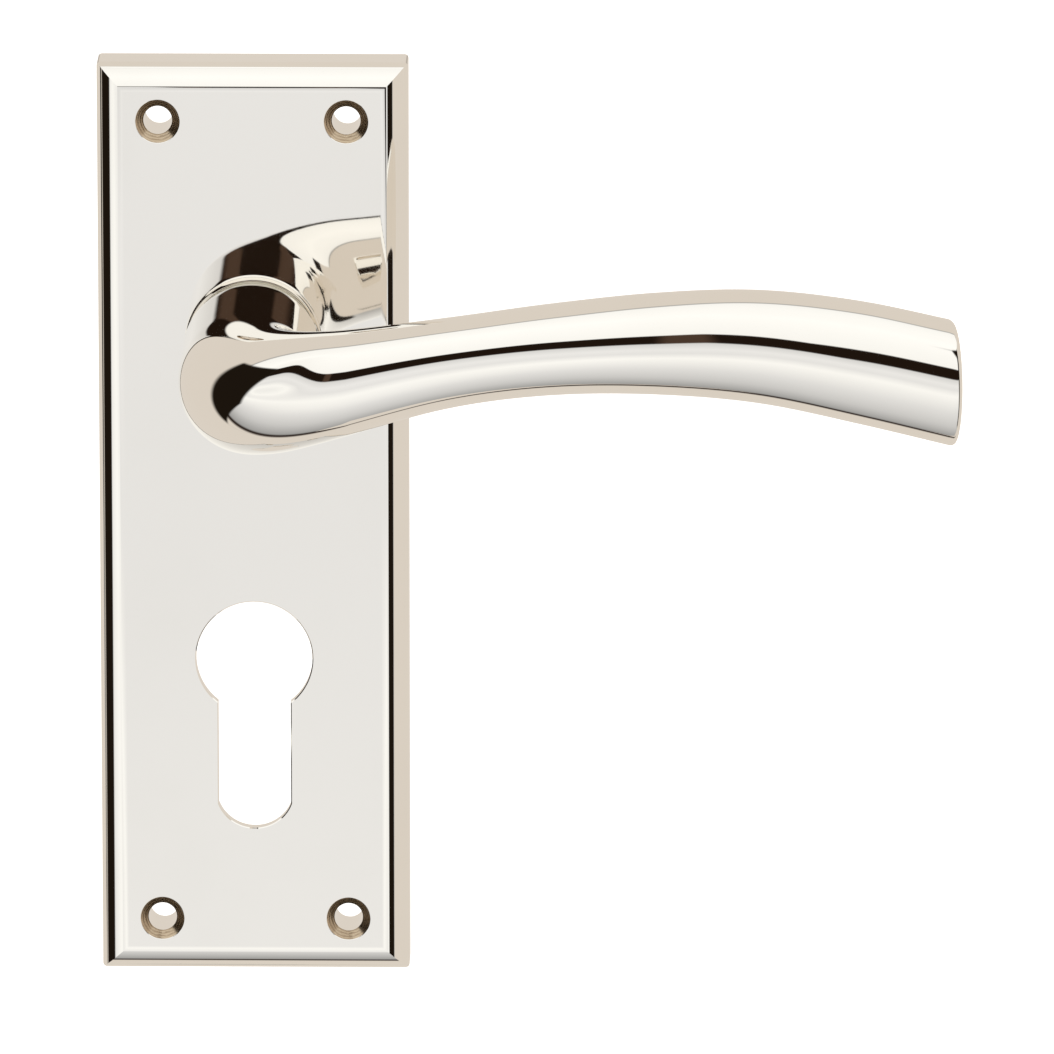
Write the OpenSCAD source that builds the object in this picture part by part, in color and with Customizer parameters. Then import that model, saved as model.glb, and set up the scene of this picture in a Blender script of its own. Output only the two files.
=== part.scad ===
// Lever door handle on a rectangular backplate with a euro-profile cylinder cut-out.
// Frame: the spindle axis is +Y and meets the door at the origin, the door's face is the plane
// y = 0, the front of the handle looks along -Y, the lever points along +X and +Z is up.

/* [Plate] */
// Width of the backplate
plate_w = 46.4; // [38:0.1:60]
// Height of the plate's top edge above the spindle
spindle_to_top = 43; // [35.5:0.5:60]
// From the foot of the cut-out down to the plate's bottom edge
below_cutout = 22.6; // [18.5:0.1:40]
// Thickness of the wall behind the flat face
face_wall = 1.8; // [1.5:0.1:3]
// Thickness of the plate's side walls
side_wall = 2.2; // [1.8:0.1:2.8]
// Radius of the rounded moulding round the face
moulding_r = 6.1; // [5:0.1:7.4]
// Lean of the moulding where it leaves the side wall
moulding_outer_lean = 63; // [52:1:76]
// Lean of the moulding where it meets the flat face
moulding_inner_lean = 18; // [12:1:24]
// Rounding of the four upright corners
corner_r = 0.6; // [0.3:0.1:2]

/* [Fixing screw holes] */
// From each side of the plate in to the holes' centres
screw_inset_x = 9.15; // [7.6:0.05:11]
// From the top and the bottom of the plate in to the holes' centres
screw_inset_z = 8.45; // [7:0.05:10.2]
// Through hole for the fixing screw
screw_hole_d = 4.3; // [3.5:0.1:5.2]
// Mouth of the countersink
countersink_d = 6.5; // [5.4:0.1:8]
// Pillar behind each hole
pillar_d = 9.4; // [7.8:0.1:11.3]

/* [Cylinder cut-out] */
// Distance from the spindle down to the centre of the round part
centres = 48; // [40:0.5:92]
// Diameter of the round part
euro_d = 17.5; // [14.5:0.1:21]
// Width of the leg
euro_leg_w = 10.9; // [9:0.1:13.1]
// Drop from the centre of the round part to the foot of the leg
euro_drop = 26.4; // [22:0.1:32]
// How much more the foot's radius is than half of the leg
euro_foot_flare = 0.35; // [0:0.05:3]

/* [Bearing] */
// Height of the boss above the face
boss_h = 1.4; // [0.8:0.1:2]
// Wall of the boss round the bush
boss_wall = 1.25; // [1:0.05:1.5]
// Wall of the bearing bush
bush_wall = 0.95; // [0.75:0.05:1.2]
// Thickness of the bush's flange
bush_flange_t = 1; // [0.6:0.1:1.5]
// Wall of the lever's shank over the sides of its square hole
shank_wall = 3; // [2.5:0.1:3.6]

/* [Lever] */
// Diameter of the neck
neck_d = 20.7; // [17.2:0.1:25]
// Rounding of the neck's rear edge
neck_edge_r = 0.85; // [0.3:0.05:1.5]
// Distance from the plate's face to the start of the elbow
elbow_start = 21.5; // [17.5:0.5:30]
// Radius of the elbow, on its centre line
elbow_r = 15; // [12.5:0.5:20]
// Distance from the spindle to the middle of the tip
lever_reach = 104.3; // [86:0.1:130]
// Rise of the bar's arch above the spindle
arch_rise = 9.3; // [0:0.1:12]
// Height of the bar at its narrowest
waist_h = 13.2; // [11:0.1:16]
// Height of the tip
tip_h = 19; // [15.5:0.1:24]
// Thickness of the tip
tip_t = 12; // [10:0.1:14.5]
// Distance from the spindle at which the bar starts to lean towards the door
bow_start = 45; // [30:1:60]
// Lean of the tip towards the door
bow_angle = 13; // [0:0.5:16]
// Rounding of the tip's rim
tip_edge_r = 0.8; // [0.3:0.1:2]

/* [Spindle] */
// Side of the square spindle
spindle_side = 8; // [6.5:0.1:9.6]
// Length of the spindle
spindle_l = 100; // [80:1:130]
// Depth of the spindle in the lever, from the plate's face
spindle_in = 21; // [17:0.5:25.5]
// Thread diameter of the grub screw
grub_d = 6; // [4:0.5:7]
// Distance of the grub screw from the plate's face
grub_from_face = 9; // [7.5:0.5:11]

/* [Return spring] */
// Diameter of the spring's wire
wire_d = 1.4; // [1.1:0.1:1.8]
// Gap between the boss and the coil
coil_gap = 1.2; // [1:0.1:1.5]
// Number of turns
coil_turns = 1.5; // [1.25:0.05:1.8]
// Travel of the lever between its stops
travel = 45; // [30:1:54]

/* [Spring housing] */
// Room round the coil for the spring's moving leg
leg_room = 2.6; // [2.1:0.1:3.2]
// Thickness of the housing's wall
housing_wall = 1.4; // [1.1:0.1:1.7]
// Thickness of the housing's floor
housing_floor = 0.6; // [0.5:0.05:0.8]
// Thickness of the rear cover
cover_t = 1.2; // [1:0.1:1.5]
// How far the cover reaches past the housing and its screws
cover_rim = 0.8; // [0.6:0.1:1]
// Thread diameter of the cover's screws
cover_screw_d = 3; // [2.5:0.1:3.6]

/* [Clearances] */
// Radial clearance of the shank in its bush
running_clearance = 0.05; // [0.03:0.01:0.08]
// Radial clearance of pieces that are put together and stay
seat_clearance = 0.05; // [0.03:0.01:0.08]
// Gap between faces that slide past each other
axial_gap = 0.1; // [0.06:0.01:0.14]
// Gap between the neck and the bush's flange
neck_gap = 0.25; // [0.2:0.05:0.5]

/* [Hidden] */
$fn = 64;

past = 1;                                   // how far a cut runs past the face it opens

// Places from the door forwards: cover, cam, spring, housing floor, then the plate's face
clip_t = 1;
cam_t = 1.2;
thrust_t = 0.5;
wave_t = 0.25;
wave_rise = 0.15;
cover_outer_y = -axial_gap;
shank_end_y = -axial_gap;
cover_y = cover_outer_y - cover_t;
cam_y = cover_y - 2 * axial_gap - cam_t;
coil_rear_y = cam_y - axial_gap - wire_d / 2;
coil_front_y = coil_rear_y - coil_turns * (wire_d + axial_gap);
floor_y = coil_front_y - wire_d / 2 - axial_gap;
housing_y = floor_y - housing_floor;
housing_rear_y = cover_y - seat_clearance;
cavity_y = housing_y - seat_clearance;      // the floor of the hollow behind the face
face_y = cavity_y - face_wall;              // the flat front face
plate_t = -face_y;

// Pieces on the shank, in front of the cam
clip_y = cam_y - axial_gap - clip_t;
wave_y = clip_y - axial_gap / 2 - wave_rise - wave_t;
thrust_y = wave_y - axial_gap / 2 - thrust_t;
inner_boss_y = thrust_y - axial_gap;
boss_y = face_y - boss_h;
flange_y = boss_y - bush_flange_t;
neck_y = flange_y - neck_gap;

// The plate's outline and its moulding
plate_h = spindle_to_top + centres + euro_drop + below_cutout;
top_z = spindle_to_top;
bottom_z = spindle_to_top - plate_h;
mid_z = (top_z + bottom_z) / 2;
moulding_rise = moulding_r * (cos(moulding_inner_lean) - cos(moulding_outer_lean));
euro_foot_r = euro_leg_w / 2 + euro_foot_flare;

// Bores and shafts
socket_side = spindle_side + 2 * seat_clearance;
shank_d = spindle_side + 2 * shank_wall;
flat_half = shank_d / 2 - 1.2;              // half the width of the shank over its two flats
groove_depth = 0.5;
bush_d = shank_d + 2 * (running_clearance + bush_wall);
boss_d = bush_d + 2 * (seat_clearance + boss_wall);
washer_d = boss_d;
spindle_front_y = face_y - spindle_in;
spindle_rear_y = spindle_front_y + spindle_l;
grub_y = face_y - grub_from_face;
grub_tip = spindle_side / 2 + seat_clearance / 2;
grub_recess = 0.6;
grub_head = sqrt(pow(neck_d / 2, 2) - pow(grub_d / 2, 2)) - grub_recess;
grub_key = grub_d / 2;                      // width of its hexagon socket across flats

// Spring, housing and cam
coil_r = boss_d / 2 + coil_gap + wire_d / 2;
coil_out = coil_r + wire_d / 2;
housing_in = coil_out + leg_room;
housing_r = housing_in + housing_wall;
cam_r = coil_out + 0.3;
ear_r = housing_r - 0.4;
ear_half = 8;                               // half the angle of the cam's stop ear
ear_at = 215;                               // where the ear stands at rest
stop_slack = 0.4;                           // angle left between the ear and each stop
leg_end = housing_in - 0.6;                 // reach of the spring's moving leg
fixed_leg_at = 90;                          // where the fixed leg goes through the housing
moving_leg_at = fixed_leg_at + 360 * coil_turns;
leg_touch = asin((wire_d / 2 + axial_gap / 2) / (coil_r + wire_d)) + 1.5;
tab_half = 5;
tab_out = housing_in - 0.5;
tab_l = wire_d + 0.4;

// The rear cover and its screws, which stand beside the housing
post_d = cover_screw_d + 3;
post_gap = 1.2;
screw_head_d = cover_screw_d + 2 * cover_t;
cover_screw_x = housing_r - post_d / 2;
cover_screw_z = sqrt(pow(housing_r + post_gap + post_d / 2, 2) - pow(cover_screw_x, 2));
cover_w = 2 * (housing_r + cover_rim);
cover_h = 2 * (cover_screw_z + screw_head_d / 2 + cover_rim);

// The lever's bar: distance along the centre line from the start of the elbow, height of the
// centre above the spindle, height of the section and thickness of the section
elbow_l = elbow_r * PI / 2;
bar_l = lever_reach - elbow_r;
bow_k = tan(bow_angle) / (2 * (lever_reach - bow_start));
function bar_at(share) = elbow_l + bar_l * share;
bar_swell = tip_h - waist_h;
bar_stations = [
    [0, 0, neck_d, neck_d],
    [elbow_l * 0.51, arch_rise * 0.097, neck_d - 2.1, neck_d - 2.3],
    [bar_at(0.005), arch_rise * 0.355, (neck_d + waist_h) / 2 - 1.55, (neck_d + tip_t) / 2 - 1.15],
    [bar_at(0.173), arch_rise * 0.688, waist_h, tip_t + 1.4],
    [bar_at(0.341), arch_rise * 0.914, waist_h + bar_swell * 0.052, tip_t + 0.8],
    [bar_at(0.509), arch_rise, waist_h + bar_swell * 0.328, tip_t + 0.6],
    [bar_at(0.677), arch_rise * 0.925, waist_h + bar_swell * 0.638, tip_t + 0.4],
    [bar_at(0.845), arch_rise * 0.613, waist_h + bar_swell * 0.914, tip_t + 0.2],
    [bar_at(1.013), arch_rise * 0.172, tip_h, tip_t]
];
ring_points = 28;
elbow_rings = 12;
bar_rings = 30;
rim_rings = 4;

// ---- helpers ---------------------------------------------------------------------------

// A round bar along Y, from y0 to y1
module rod(d, y0, y1) {
    translate([0, y1, 0]) rotate([90, 0, 0]) cylinder(d = d, h = y1 - y0);
}

// A flat ring about the spindle axis
module ring(d_in, d_out, y0, y1) {
    difference() {
        rod(d_out, y0, y1);
        rod(d_in, y0 - past, y1 + past);
    }
}

// A square bar along Y
module square_bar(side, y0, y1) {
    translate([-side / 2, y0, -side / 2]) cube([side, y1 - y0, side]);
}

// A sector of a ring about the spindle axis, from one angle to the other, turning as the lever does
module sector(r_in, r_out, from, to, y0, y1) {
    steps = 8;
    outer = [for (i = [0:steps]) let (a = from + (to - from) * i / steps) [r_out * cos(a), r_out * sin(a)]];
    inner = [for (i = [steps:-1:0]) let (a = from + (to - from) * i / steps) [r_in * cos(a), r_in * sin(a)]];
    translate([0, y0, 0]) rotate([-90, 0, 0]) linear_extrude(y1 - y0) polygon(concat(outer, inner));
}

// The four fixing hole centres
module at_screw_holes() {
    for (sx = [-1, 1], sz = [-1, 1])
        translate([sx * (plate_w / 2 - screw_inset_x), 0, mid_z + sz * (plate_h / 2 - screw_inset_z)])
            children();
}

// Centre of one of the cover's four screws
function cover_screw_at(i) = [(i % 2 == 0 ? -1 : 1) * cover_screw_x, 0, (i < 2 ? 1 : -1) * cover_screw_z];

// ---- backplate -------------------------------------------------------------------------

// Half of the plate's cross-section across one direction: half width, then depth
function moulding_arc(half, steps = 8) = [
    for (i = [0:steps])
        let (lean = moulding_outer_lean + (moulding_inner_lean - moulding_outer_lean) * i / steps)
        [
            half - moulding_r * (sin(moulding_outer_lean) - sin(lean)),
            plate_t - moulding_rise + moulding_r * (cos(lean) - cos(moulding_outer_lean))
        ]
];

module moulded_section(half) {
    arc = moulding_arc(half);
    other = [for (i = [len(arc) - 1:-1:0]) [-arc[i][0], arc[i][1]]];
    polygon(concat([[half, 0]], arc, other, [[-half, 0]]));
}

// A rectangle with rounded corners, its arcs made of short sides
function rounded_box(w, h, r, steps = 4) = [
    for (c = [[1, 1, 0], [-1, 1, 90], [-1, -1, 180], [1, -1, 270]], i = [0:steps])
        let (a = c[2] + 90 * i / steps) [c[0] * (w / 2 - r) + r * cos(a), c[1] * (h / 2 - r) + r * sin(a)]
];

module plate_blank() {
    intersection() {
        translate([0, 0, bottom_z]) linear_extrude(plate_h) mirror([0, 1]) moulded_section(plate_w / 2);
        translate([-plate_w / 2, 0, mid_z]) rotate([90, 0, 90]) linear_extrude(plate_w)
            rotate(90) moulded_section(plate_h / 2);
        translate([0, past, mid_z]) rotate([90, 0, 0]) linear_extrude(plate_t + 2 * past)
            polygon(rounded_box(plate_w, plate_h, corner_r));
    }
}

module euro_profile(y0, y1) {
    translate([0, 0, -centres]) {
        rod(euro_d, y0, y1);
        intersection() {
            translate([-euro_leg_w / 2, y0, -euro_drop - past]) cube([euro_leg_w, y1 - y0, euro_drop + past]);
            union() {
                translate([0, 0, euro_foot_r - euro_drop]) rod(2 * euro_foot_r, y0, y1);
                translate([-euro_leg_w, y0, euro_foot_r - euro_drop])
                    cube([2 * euro_leg_w, y1 - y0, euro_drop - euro_foot_r]);
            }
        }
    }
}

module countersunk_hole() {
    rod(screw_hole_d, face_y - past, past);
    sink = (countersink_d - screw_hole_d) / 2;
    translate([0, face_y + sink, 0]) rotate([90, 0, 0])
        cylinder(d1 = screw_hole_d, d2 = countersink_d, h = sink);
    rod(countersink_d, face_y - past, face_y);
}

module backplate() {
    pocket_w = plate_w - 2 * side_wall;
    pocket_h = plate_h - 2 * side_wall;
    rib_t = 1.6;
    rib_h = 4;
    root = 0.4;                             // how far a rib runs into the walls it joins
    color([0.86, 0.84, 0.8]) difference() {
        union() {
            difference() {
                plate_blank();
                translate([-pocket_w / 2, cavity_y, bottom_z + side_wall])
                    cube([pocket_w, plate_t, pocket_h]);
            }
            at_screw_holes() rod(pillar_d, cavity_y - root, 0);
            rod(boss_d, boss_y, inner_boss_y);
            for (i = [0:3]) translate(cover_screw_at(i)) rod(post_d, cavity_y - root, cover_y);
            for (z = [-cover_h / 2 - 3.1, -centres - euro_drop - 4])
                translate([-pocket_w / 2 - root, cavity_y - root, z])
                    cube([pocket_w + 2 * root, rib_h + root, rib_t]);
        }
        at_screw_holes() countersunk_hole();
        euro_profile(face_y - past, past);
        rod(bush_d + 2 * seat_clearance, boss_y - past, inner_boss_y + past);
        for (i = [0:3]) translate(cover_screw_at(i)) rod(cover_screw_d, cavity_y + 0.5, past);
    }
}

// ---- bearing and spring cassette -----------------------------------------------------------

module bearing_bush() {
    color([0.93, 0.92, 0.88]) difference() {
        union() {
            rod(boss_d, flange_y, boss_y);
            rod(bush_d, flange_y, inner_boss_y);
        }
        rod(shank_d + 2 * running_clearance, flange_y - past, inner_boss_y + past);
    }
}

module spring_housing() {
    leg_slot = asin((wire_d / 2 + seat_clearance) / housing_r);
    color([0.2, 0.2, 0.21]) difference() {
        rod(2 * housing_r, housing_y, housing_rear_y);
        rod(2 * housing_in, floor_y, past);
        rod(boss_d + 2 * axial_gap, housing_y - past, past);
        sector(housing_in - past, housing_r + past, ear_at - ear_half - stop_slack,
               ear_at + ear_half + travel + stop_slack, cam_y - 2 * axial_gap, past);
        sector(housing_in - past, housing_r + past, fixed_leg_at - leg_slot, fixed_leg_at + leg_slot,
               coil_front_y - wire_d / 2 - seat_clearance, past);
    }
}

// Points along the spring: the fixed leg, the coil and the moving leg
coil_steps = round(24 * coil_turns);
function coil_point(t) = let (a = fixed_leg_at + 360 * coil_turns * t)
    [coil_r * cos(a), coil_front_y + (coil_rear_y - coil_front_y) * t, -coil_r * sin(a)];
function leg_point(r, a, y) = [r * cos(a), y, -r * sin(a)];
spring_path = concat(
    [
        leg_point(housing_r - 0.3, fixed_leg_at, coil_front_y),
        leg_point(coil_r + wire_d, fixed_leg_at, coil_front_y)
    ],
    [for (i = [0:coil_steps]) coil_point(i / coil_steps)],
    [leg_point(coil_r + wire_d, moving_leg_at, coil_rear_y), leg_point(leg_end, moving_leg_at, coil_rear_y)]
);

// A round wire swept along points; each ring stands square to the path, with one side along Y
function unit(v) = v / norm(v);
function wire_ring(path, i, r, sides) =
    let (
        a = path[max(i - 1, 0)],
        b = path[min(i + 1, len(path) - 1)],
        t = unit(b - a),
        s = unit(cross(t, [0, 1, 0])),
        u = cross(s, t)
    )
    [for (k = [0:sides - 1]) path[i] + r * (cos(360 * k / sides) * s + sin(360 * k / sides) * u)];

// A closed skin over rings that all have the same number of points
module skin(rings) {
    n = len(rings[0]);
    m = len(rings);
    points = [for (g = rings, p = g) p];
    sides = [
        for (i = [0:m - 2], k = [0:n - 1], half = [0, 1])
            let (a = i * n + k, b = i * n + (k + 1) % n)
            half == 0 ? [a, b, b + n] : [a, b + n, a + n]
    ];
    first = [[for (k = [n - 1:-1:0]) k]];
    last = [[for (k = [0:n - 1]) (m - 1) * n + k]];
    polyhedron(points = points, faces = concat(sides, first, last), convexity = 8);
}

module return_spring() {
    color([0.45, 0.45, 0.47])
        skin([for (i = [0:len(spring_path) - 1]) wire_ring(spring_path, i, wire_d / 2, 8)]);
}

module rear_cover() {
    hole_d = 2 * (cam_r - 2);
    color([0.72, 0.72, 0.7]) difference() {
        translate([0, cover_outer_y, 0]) rotate([90, 0, 0]) linear_extrude(cover_t)
            polygon(rounded_box(cover_w, cover_h, post_d / 2));
        rod(hole_d, cover_y - past, past);
        for (i = [0:3]) translate(cover_screw_at(i)) {
            rod(cover_screw_d + 2 * seat_clearance, cover_y - past, past);
            translate([0, cover_outer_y, 0]) rotate([90, 0, 0])
                cylinder(d1 = screw_head_d + 2 * seat_clearance, d2 = cover_screw_d,
                         h = cover_t + seat_clearance);
        }
    }
}

module cover_screw(i) {
    slot_w = cover_screw_d / 5;
    color([0.8, 0.79, 0.76]) translate(cover_screw_at(i)) difference() {
        union() {
            rod(cover_screw_d - 2 * seat_clearance, cavity_y + 0.5 + axial_gap, cover_outer_y);
            translate([0, cover_outer_y, 0]) rotate([90, 0, 0])
                cylinder(d1 = screw_head_d, d2 = cover_screw_d - 2 * seat_clearance, h = cover_t);
        }
        for (a = [45, 135]) rotate([0, a, 0])
            translate([-cover_screw_d / 2, cover_outer_y - cover_t / 2, -slot_w / 2])
                cube([cover_screw_d, past, slot_w]);
    }
}

// ---- lever ---------------------------------------------------------------------------------

// Slope of one column of the stations at station i, level where the bar leaves the neck
function slope(i, c) = i == 0 ? 0
    : let (p = bar_stations[i - 1], q = bar_stations[min(i + 1, len(bar_stations) - 1)])
      (q[c] - p[c]) / (q[0] - p[0]);

// One column of the stations at a distance along the centre line, as a smooth curve
function along(s, c, i = 0) =
    i < len(bar_stations) - 2 && s > bar_stations[i + 1][0] ? along(s, c, i + 1)
    : let (
        p = bar_stations[i],
        q = bar_stations[i + 1],
        w = q[0] - p[0],
        t = (s - p[0]) / w
    )
    (1 + 2 * t) * pow(1 - t, 2) * p[c] + t * pow(1 - t, 2) * w * slope(i, c)
    + t * t * (3 - 2 * t) * q[c] + t * t * (t - 1) * w * slope(i + 1, c);

// Heading of the centre line in plan: 0 along -Y, 90 along +X, more than 90 back towards the door
function heading(s) = s < 0 ? 0
    : s < elbow_l ? 90 * s / elbow_l
    : 90 + atan(2 * bow_k * max(0, elbow_r + s - elbow_l - bow_start));

// The centre line: the neck where s is below 0, then the elbow, then the bar
function centre(s) = s < 0 ? [0, face_y - elbow_start - s, 0]
    : s < elbow_l ? let (h = heading(s))
      [elbow_r * (1 - cos(h)), face_y - elbow_start - elbow_r * sin(h), along(s, 1)]
    : let (x = elbow_r + s - elbow_l, b = max(0, x - bow_start))
      [x, face_y - elbow_start - elbow_r + bow_k * b * b, along(s, 1)];

// One oval section, drawn in by an inset
function section(s, inset = 0) =
    let (
        h = heading(s),
        c = centre(s),
        half_h = along(max(s, 0), 2) / 2 - inset,
        half_t = along(max(s, 0), 3) / 2 - inset
    )
    [
        for (k = [0:ring_points - 1])
            let (a = 360 * k / ring_points)
            c + [-cos(h) * half_t * cos(a), -sin(h) * half_t * cos(a), half_h * sin(a)]
    ];

// Sections round a quarter circle of radius r, which ends at the distance s and faces the way dir
function rounded_end(s, r, steps, dir) = [
    for (i = [1:steps])
        let (a = 90 * i / steps)
        section(s - dir * r * (1 - sin(a)), r * (1 - cos(a)))
];

// Neck, elbow and bar in one skin
module lever_body() {
    neck_s = face_y - elbow_start - neck_y;
    tip_s = elbow_l + bar_l;
    neck_rings = rounded_end(neck_s, neck_edge_r, rim_rings, -1);
    skin(concat(
        [for (i = [rim_rings - 1:-1:0]) neck_rings[i]],
        [section(neck_s + neck_edge_r)],
        [for (i = [0:elbow_rings - 1]) section(elbow_l * i / elbow_rings)],
        [for (i = [0:bar_rings]) section(elbow_l + (bar_l - tip_edge_r) * i / bar_rings)],
        rounded_end(tip_s, tip_edge_r, rim_rings, 1)
    ));
}

module lever_handle() {
    flats_y = cam_y - axial_gap;
    color([0.87, 0.85, 0.81]) difference() {
        union() {
            lever_body();
            rod(shank_d, neck_y - past, shank_end_y);
        }
        square_bar(socket_side, spindle_front_y - seat_clearance, past);
        translate([0, grub_y, 0]) rotate([180, 0, 0]) cylinder(d = grub_d, h = neck_d);
        difference() {
            rod(shank_d + past, clip_y - seat_clearance, clip_y + clip_t + seat_clearance);
            rod(shank_d - 2 * groove_depth, clip_y - past, clip_y + clip_t + past);
        }
        for (side = [-1, 1])
            translate([-shank_d, flats_y, side * (flat_half + shank_d / 2) - shank_d / 2])
                cube([2 * shank_d, shank_end_y - flats_y + past, shank_d]);
    }
}

module spindle() {
    chamfer = 0.6;
    half = spindle_side / 2;
    cut = half - chamfer;
    taper = [[half, -cut], [half, cut], [cut, half], [-cut, half],
             [-half, cut], [-half, -cut], [-cut, -half], [cut, -half]];
    color([0.62, 0.62, 0.63]) union() {
        square_bar(spindle_side, spindle_front_y, spindle_rear_y - chamfer);
        translate([0, spindle_rear_y, 0]) rotate([90, 0, 0]) linear_extrude(chamfer + past) polygon(taper);
    }
}

module grub_screw() {
    color([0.25, 0.25, 0.26]) translate([0, grub_y, 0]) rotate([180, 0, 0]) difference() {
        translate([0, 0, grub_tip]) cylinder(d = grub_d - 2 * seat_clearance, h = grub_head - grub_tip);
        translate([0, 0, grub_head - grub_key]) cylinder(d = grub_key / cos(30), h = grub_key + past, $fn = 6);
    }
}

// ---- pieces on the shank -----------------------------------------------------------------

module thrust_washer() {
    color([0.78, 0.77, 0.74]) ring(shank_d + 4 * seat_clearance, washer_d, thrust_y, thrust_y + thrust_t);
}

// A thin ring with three waves round it
module wave_washer() {
    r_in = shank_d / 2 + 2 * seat_clearance;
    r_out = washer_d / 2 - 0.5;
    steps = 48;
    function wave(a) = wave_y + wave_rise * (1 + sin(3 * a)) / 2;
    function corner(r, y, a) = [r * cos(a), y, r * sin(a)];
    points = [
        for (i = [0:steps - 1])
            let (a = 360 * i / steps)
            each [
                corner(r_in, wave(a), a), corner(r_out, wave(a), a),
                corner(r_out, wave(a) + wave_t, a), corner(r_in, wave(a) + wave_t, a)
            ]
    ];
    faces = [
        for (i = [0:steps - 1], k = [0:3], half = [0, 1])
            let (p = 4 * i, q = 4 * ((i + 1) % steps), m = (k + 1) % 4)
            half == 0 ? [p + k, q + k, q + m] : [p + k, q + m, p + m]
    ];
    color([0.5, 0.5, 0.52]) polyhedron(points = points, faces = faces, convexity = 6);
}

// A retaining ring with a gap at its foot and two eyed lugs beside it
module circlip() {
    r_in = shank_d / 2 - groove_depth + seat_clearance;
    r_out = r_in + 1.9;
    lug_r = 1.6;
    lug_drop = r_in + lug_r - 0.3;
    gap_w = 3;
    eye_d = 1.2;
    lug_x = gap_w / 2 + 1.1;
    color([0.35, 0.35, 0.36]) difference() {
        union() {
            rod(2 * r_out, clip_y, clip_y + clip_t);
            for (side = [-1, 1])
                translate([side * lug_x, 0, -lug_drop]) rod(2 * lug_r, clip_y, clip_y + clip_t);
        }
        rod(2 * r_in, clip_y - past, clip_y + clip_t + past);
        translate([-gap_w / 2, clip_y - past, -washer_d]) cube([gap_w, clip_t + 2 * past, washer_d]);
        for (side = [-1, 1])
            translate([side * lug_x, 0, -lug_drop]) rod(eye_d, clip_y - past, clip_y + clip_t + past);
    }
}

// The cam that the shank's flats turn: an ear that meets the stops and a tab that loads the spring
module drive_cam() {
    bore = shank_d + 2 * seat_clearance;
    flats = 2 * (flat_half + seat_clearance);
    tab_at = moving_leg_at - leg_touch - tab_half;
    color([0.7, 0.69, 0.67]) difference() {
        union() {
            rod(2 * cam_r, cam_y, cam_y + cam_t);
            sector(cam_r - past, ear_r, ear_at - ear_half, ear_at + ear_half, cam_y, cam_y + cam_t);
            sector(shank_d / 2 + past, tab_out, tab_at - tab_half, tab_at + tab_half, cam_y, cam_y + cam_t);
            sector(cam_r, tab_out, tab_at - tab_half, tab_at + tab_half, cam_y - tab_l, cam_y + cam_t / 2);
        }
        intersection() {
            rod(bore, cam_y - past, cam_y + cam_t + past);
            translate([-bore, cam_y - 2 * past, -flats / 2]) cube([2 * bore, cam_t + 4 * past, flats]);
        }
    }
}

backplate();
bearing_bush();
spring_housing();
return_spring();
rear_cover();
cover_screw(0);  // cover_screw_1
cover_screw(1);  // cover_screw_2
cover_screw(2);  // cover_screw_3
cover_screw(3);  // cover_screw_4
lever_handle();
spindle();
grub_screw();
thrust_washer();
wave_washer();
circlip();
drive_cam();
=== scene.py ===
"""Polished nickel lever door handle on a euro-profile backplate, dressed round its CAD frame.

The frame's axes are kept: the spindle is +Y and meets the door at the origin, the front of the
handle looks along -Y, the lever points along +X and +Z is up. Sizes in the dataclasses are in
millimetres, and every mesh is written in metres.
"""
import logging
import math
from dataclasses import dataclass, field
from enum import Enum

import bmesh
import bpy
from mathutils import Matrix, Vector


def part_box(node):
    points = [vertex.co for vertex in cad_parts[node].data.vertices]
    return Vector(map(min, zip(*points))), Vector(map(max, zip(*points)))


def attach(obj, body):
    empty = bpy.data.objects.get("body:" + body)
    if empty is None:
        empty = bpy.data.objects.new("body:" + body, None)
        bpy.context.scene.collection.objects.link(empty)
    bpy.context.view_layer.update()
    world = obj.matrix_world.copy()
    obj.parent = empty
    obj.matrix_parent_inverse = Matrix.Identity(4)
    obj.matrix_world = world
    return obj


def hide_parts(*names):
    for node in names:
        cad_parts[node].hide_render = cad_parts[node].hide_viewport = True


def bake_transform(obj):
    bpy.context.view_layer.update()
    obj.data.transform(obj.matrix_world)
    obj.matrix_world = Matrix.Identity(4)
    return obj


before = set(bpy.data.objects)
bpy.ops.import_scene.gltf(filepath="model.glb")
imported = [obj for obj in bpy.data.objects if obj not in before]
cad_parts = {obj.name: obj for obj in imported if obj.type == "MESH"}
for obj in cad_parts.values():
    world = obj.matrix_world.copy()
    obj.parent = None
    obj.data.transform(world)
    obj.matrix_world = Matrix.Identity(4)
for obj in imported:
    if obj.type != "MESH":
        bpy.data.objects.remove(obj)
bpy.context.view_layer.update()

MM = 0.001
SLIVER = 0.006
MERGE = 2e-7
log = logging.getLogger("lever_handle")

Point = tuple[float, float, float]
Pair = tuple[float, float]
Outline = list[Pair]
Colour = tuple[float, float, float]
Socket = bpy.types.NodeSocket
Piece = bpy.types.Object


class Body(Enum):
    """The two rigid bodies of the frame."""

    PLATE = "plate"
    LEVER = "lever"


class Slot(Enum):
    """The material slots of the record."""

    PLATE_NICKEL = "plate_nickel"
    LEVER_NICKEL = "lever_nickel"
    NYLON = "nylon"
    ZINC_PLATE = "zinc_plate"
    SPRING_STEEL = "spring_steel"
    SCREW_ZINC = "screw_zinc"
    SPINDLE_STEEL = "spindle_steel"
    BLACK_STEEL = "black_steel"


class Effect(Enum):
    """The surface effects that a finish chooses from."""

    POLISH = "polish_marks"
    TURNING = "turning_marks"
    GRAIN = "grain"


class Kind(Enum):
    """Kinds of node group socket."""

    NUMBER = "NodeSocketFloat"
    COUNT = "NodeSocketInt"
    VECTOR = "NodeSocketVector"
    COLOUR = "NodeSocketColor"
    SHAPE = "NodeSocketGeometry"
    FINISH = "NodeSocketMaterial"


# ---- node trees ------------------------------------------------------------------------------


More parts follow.
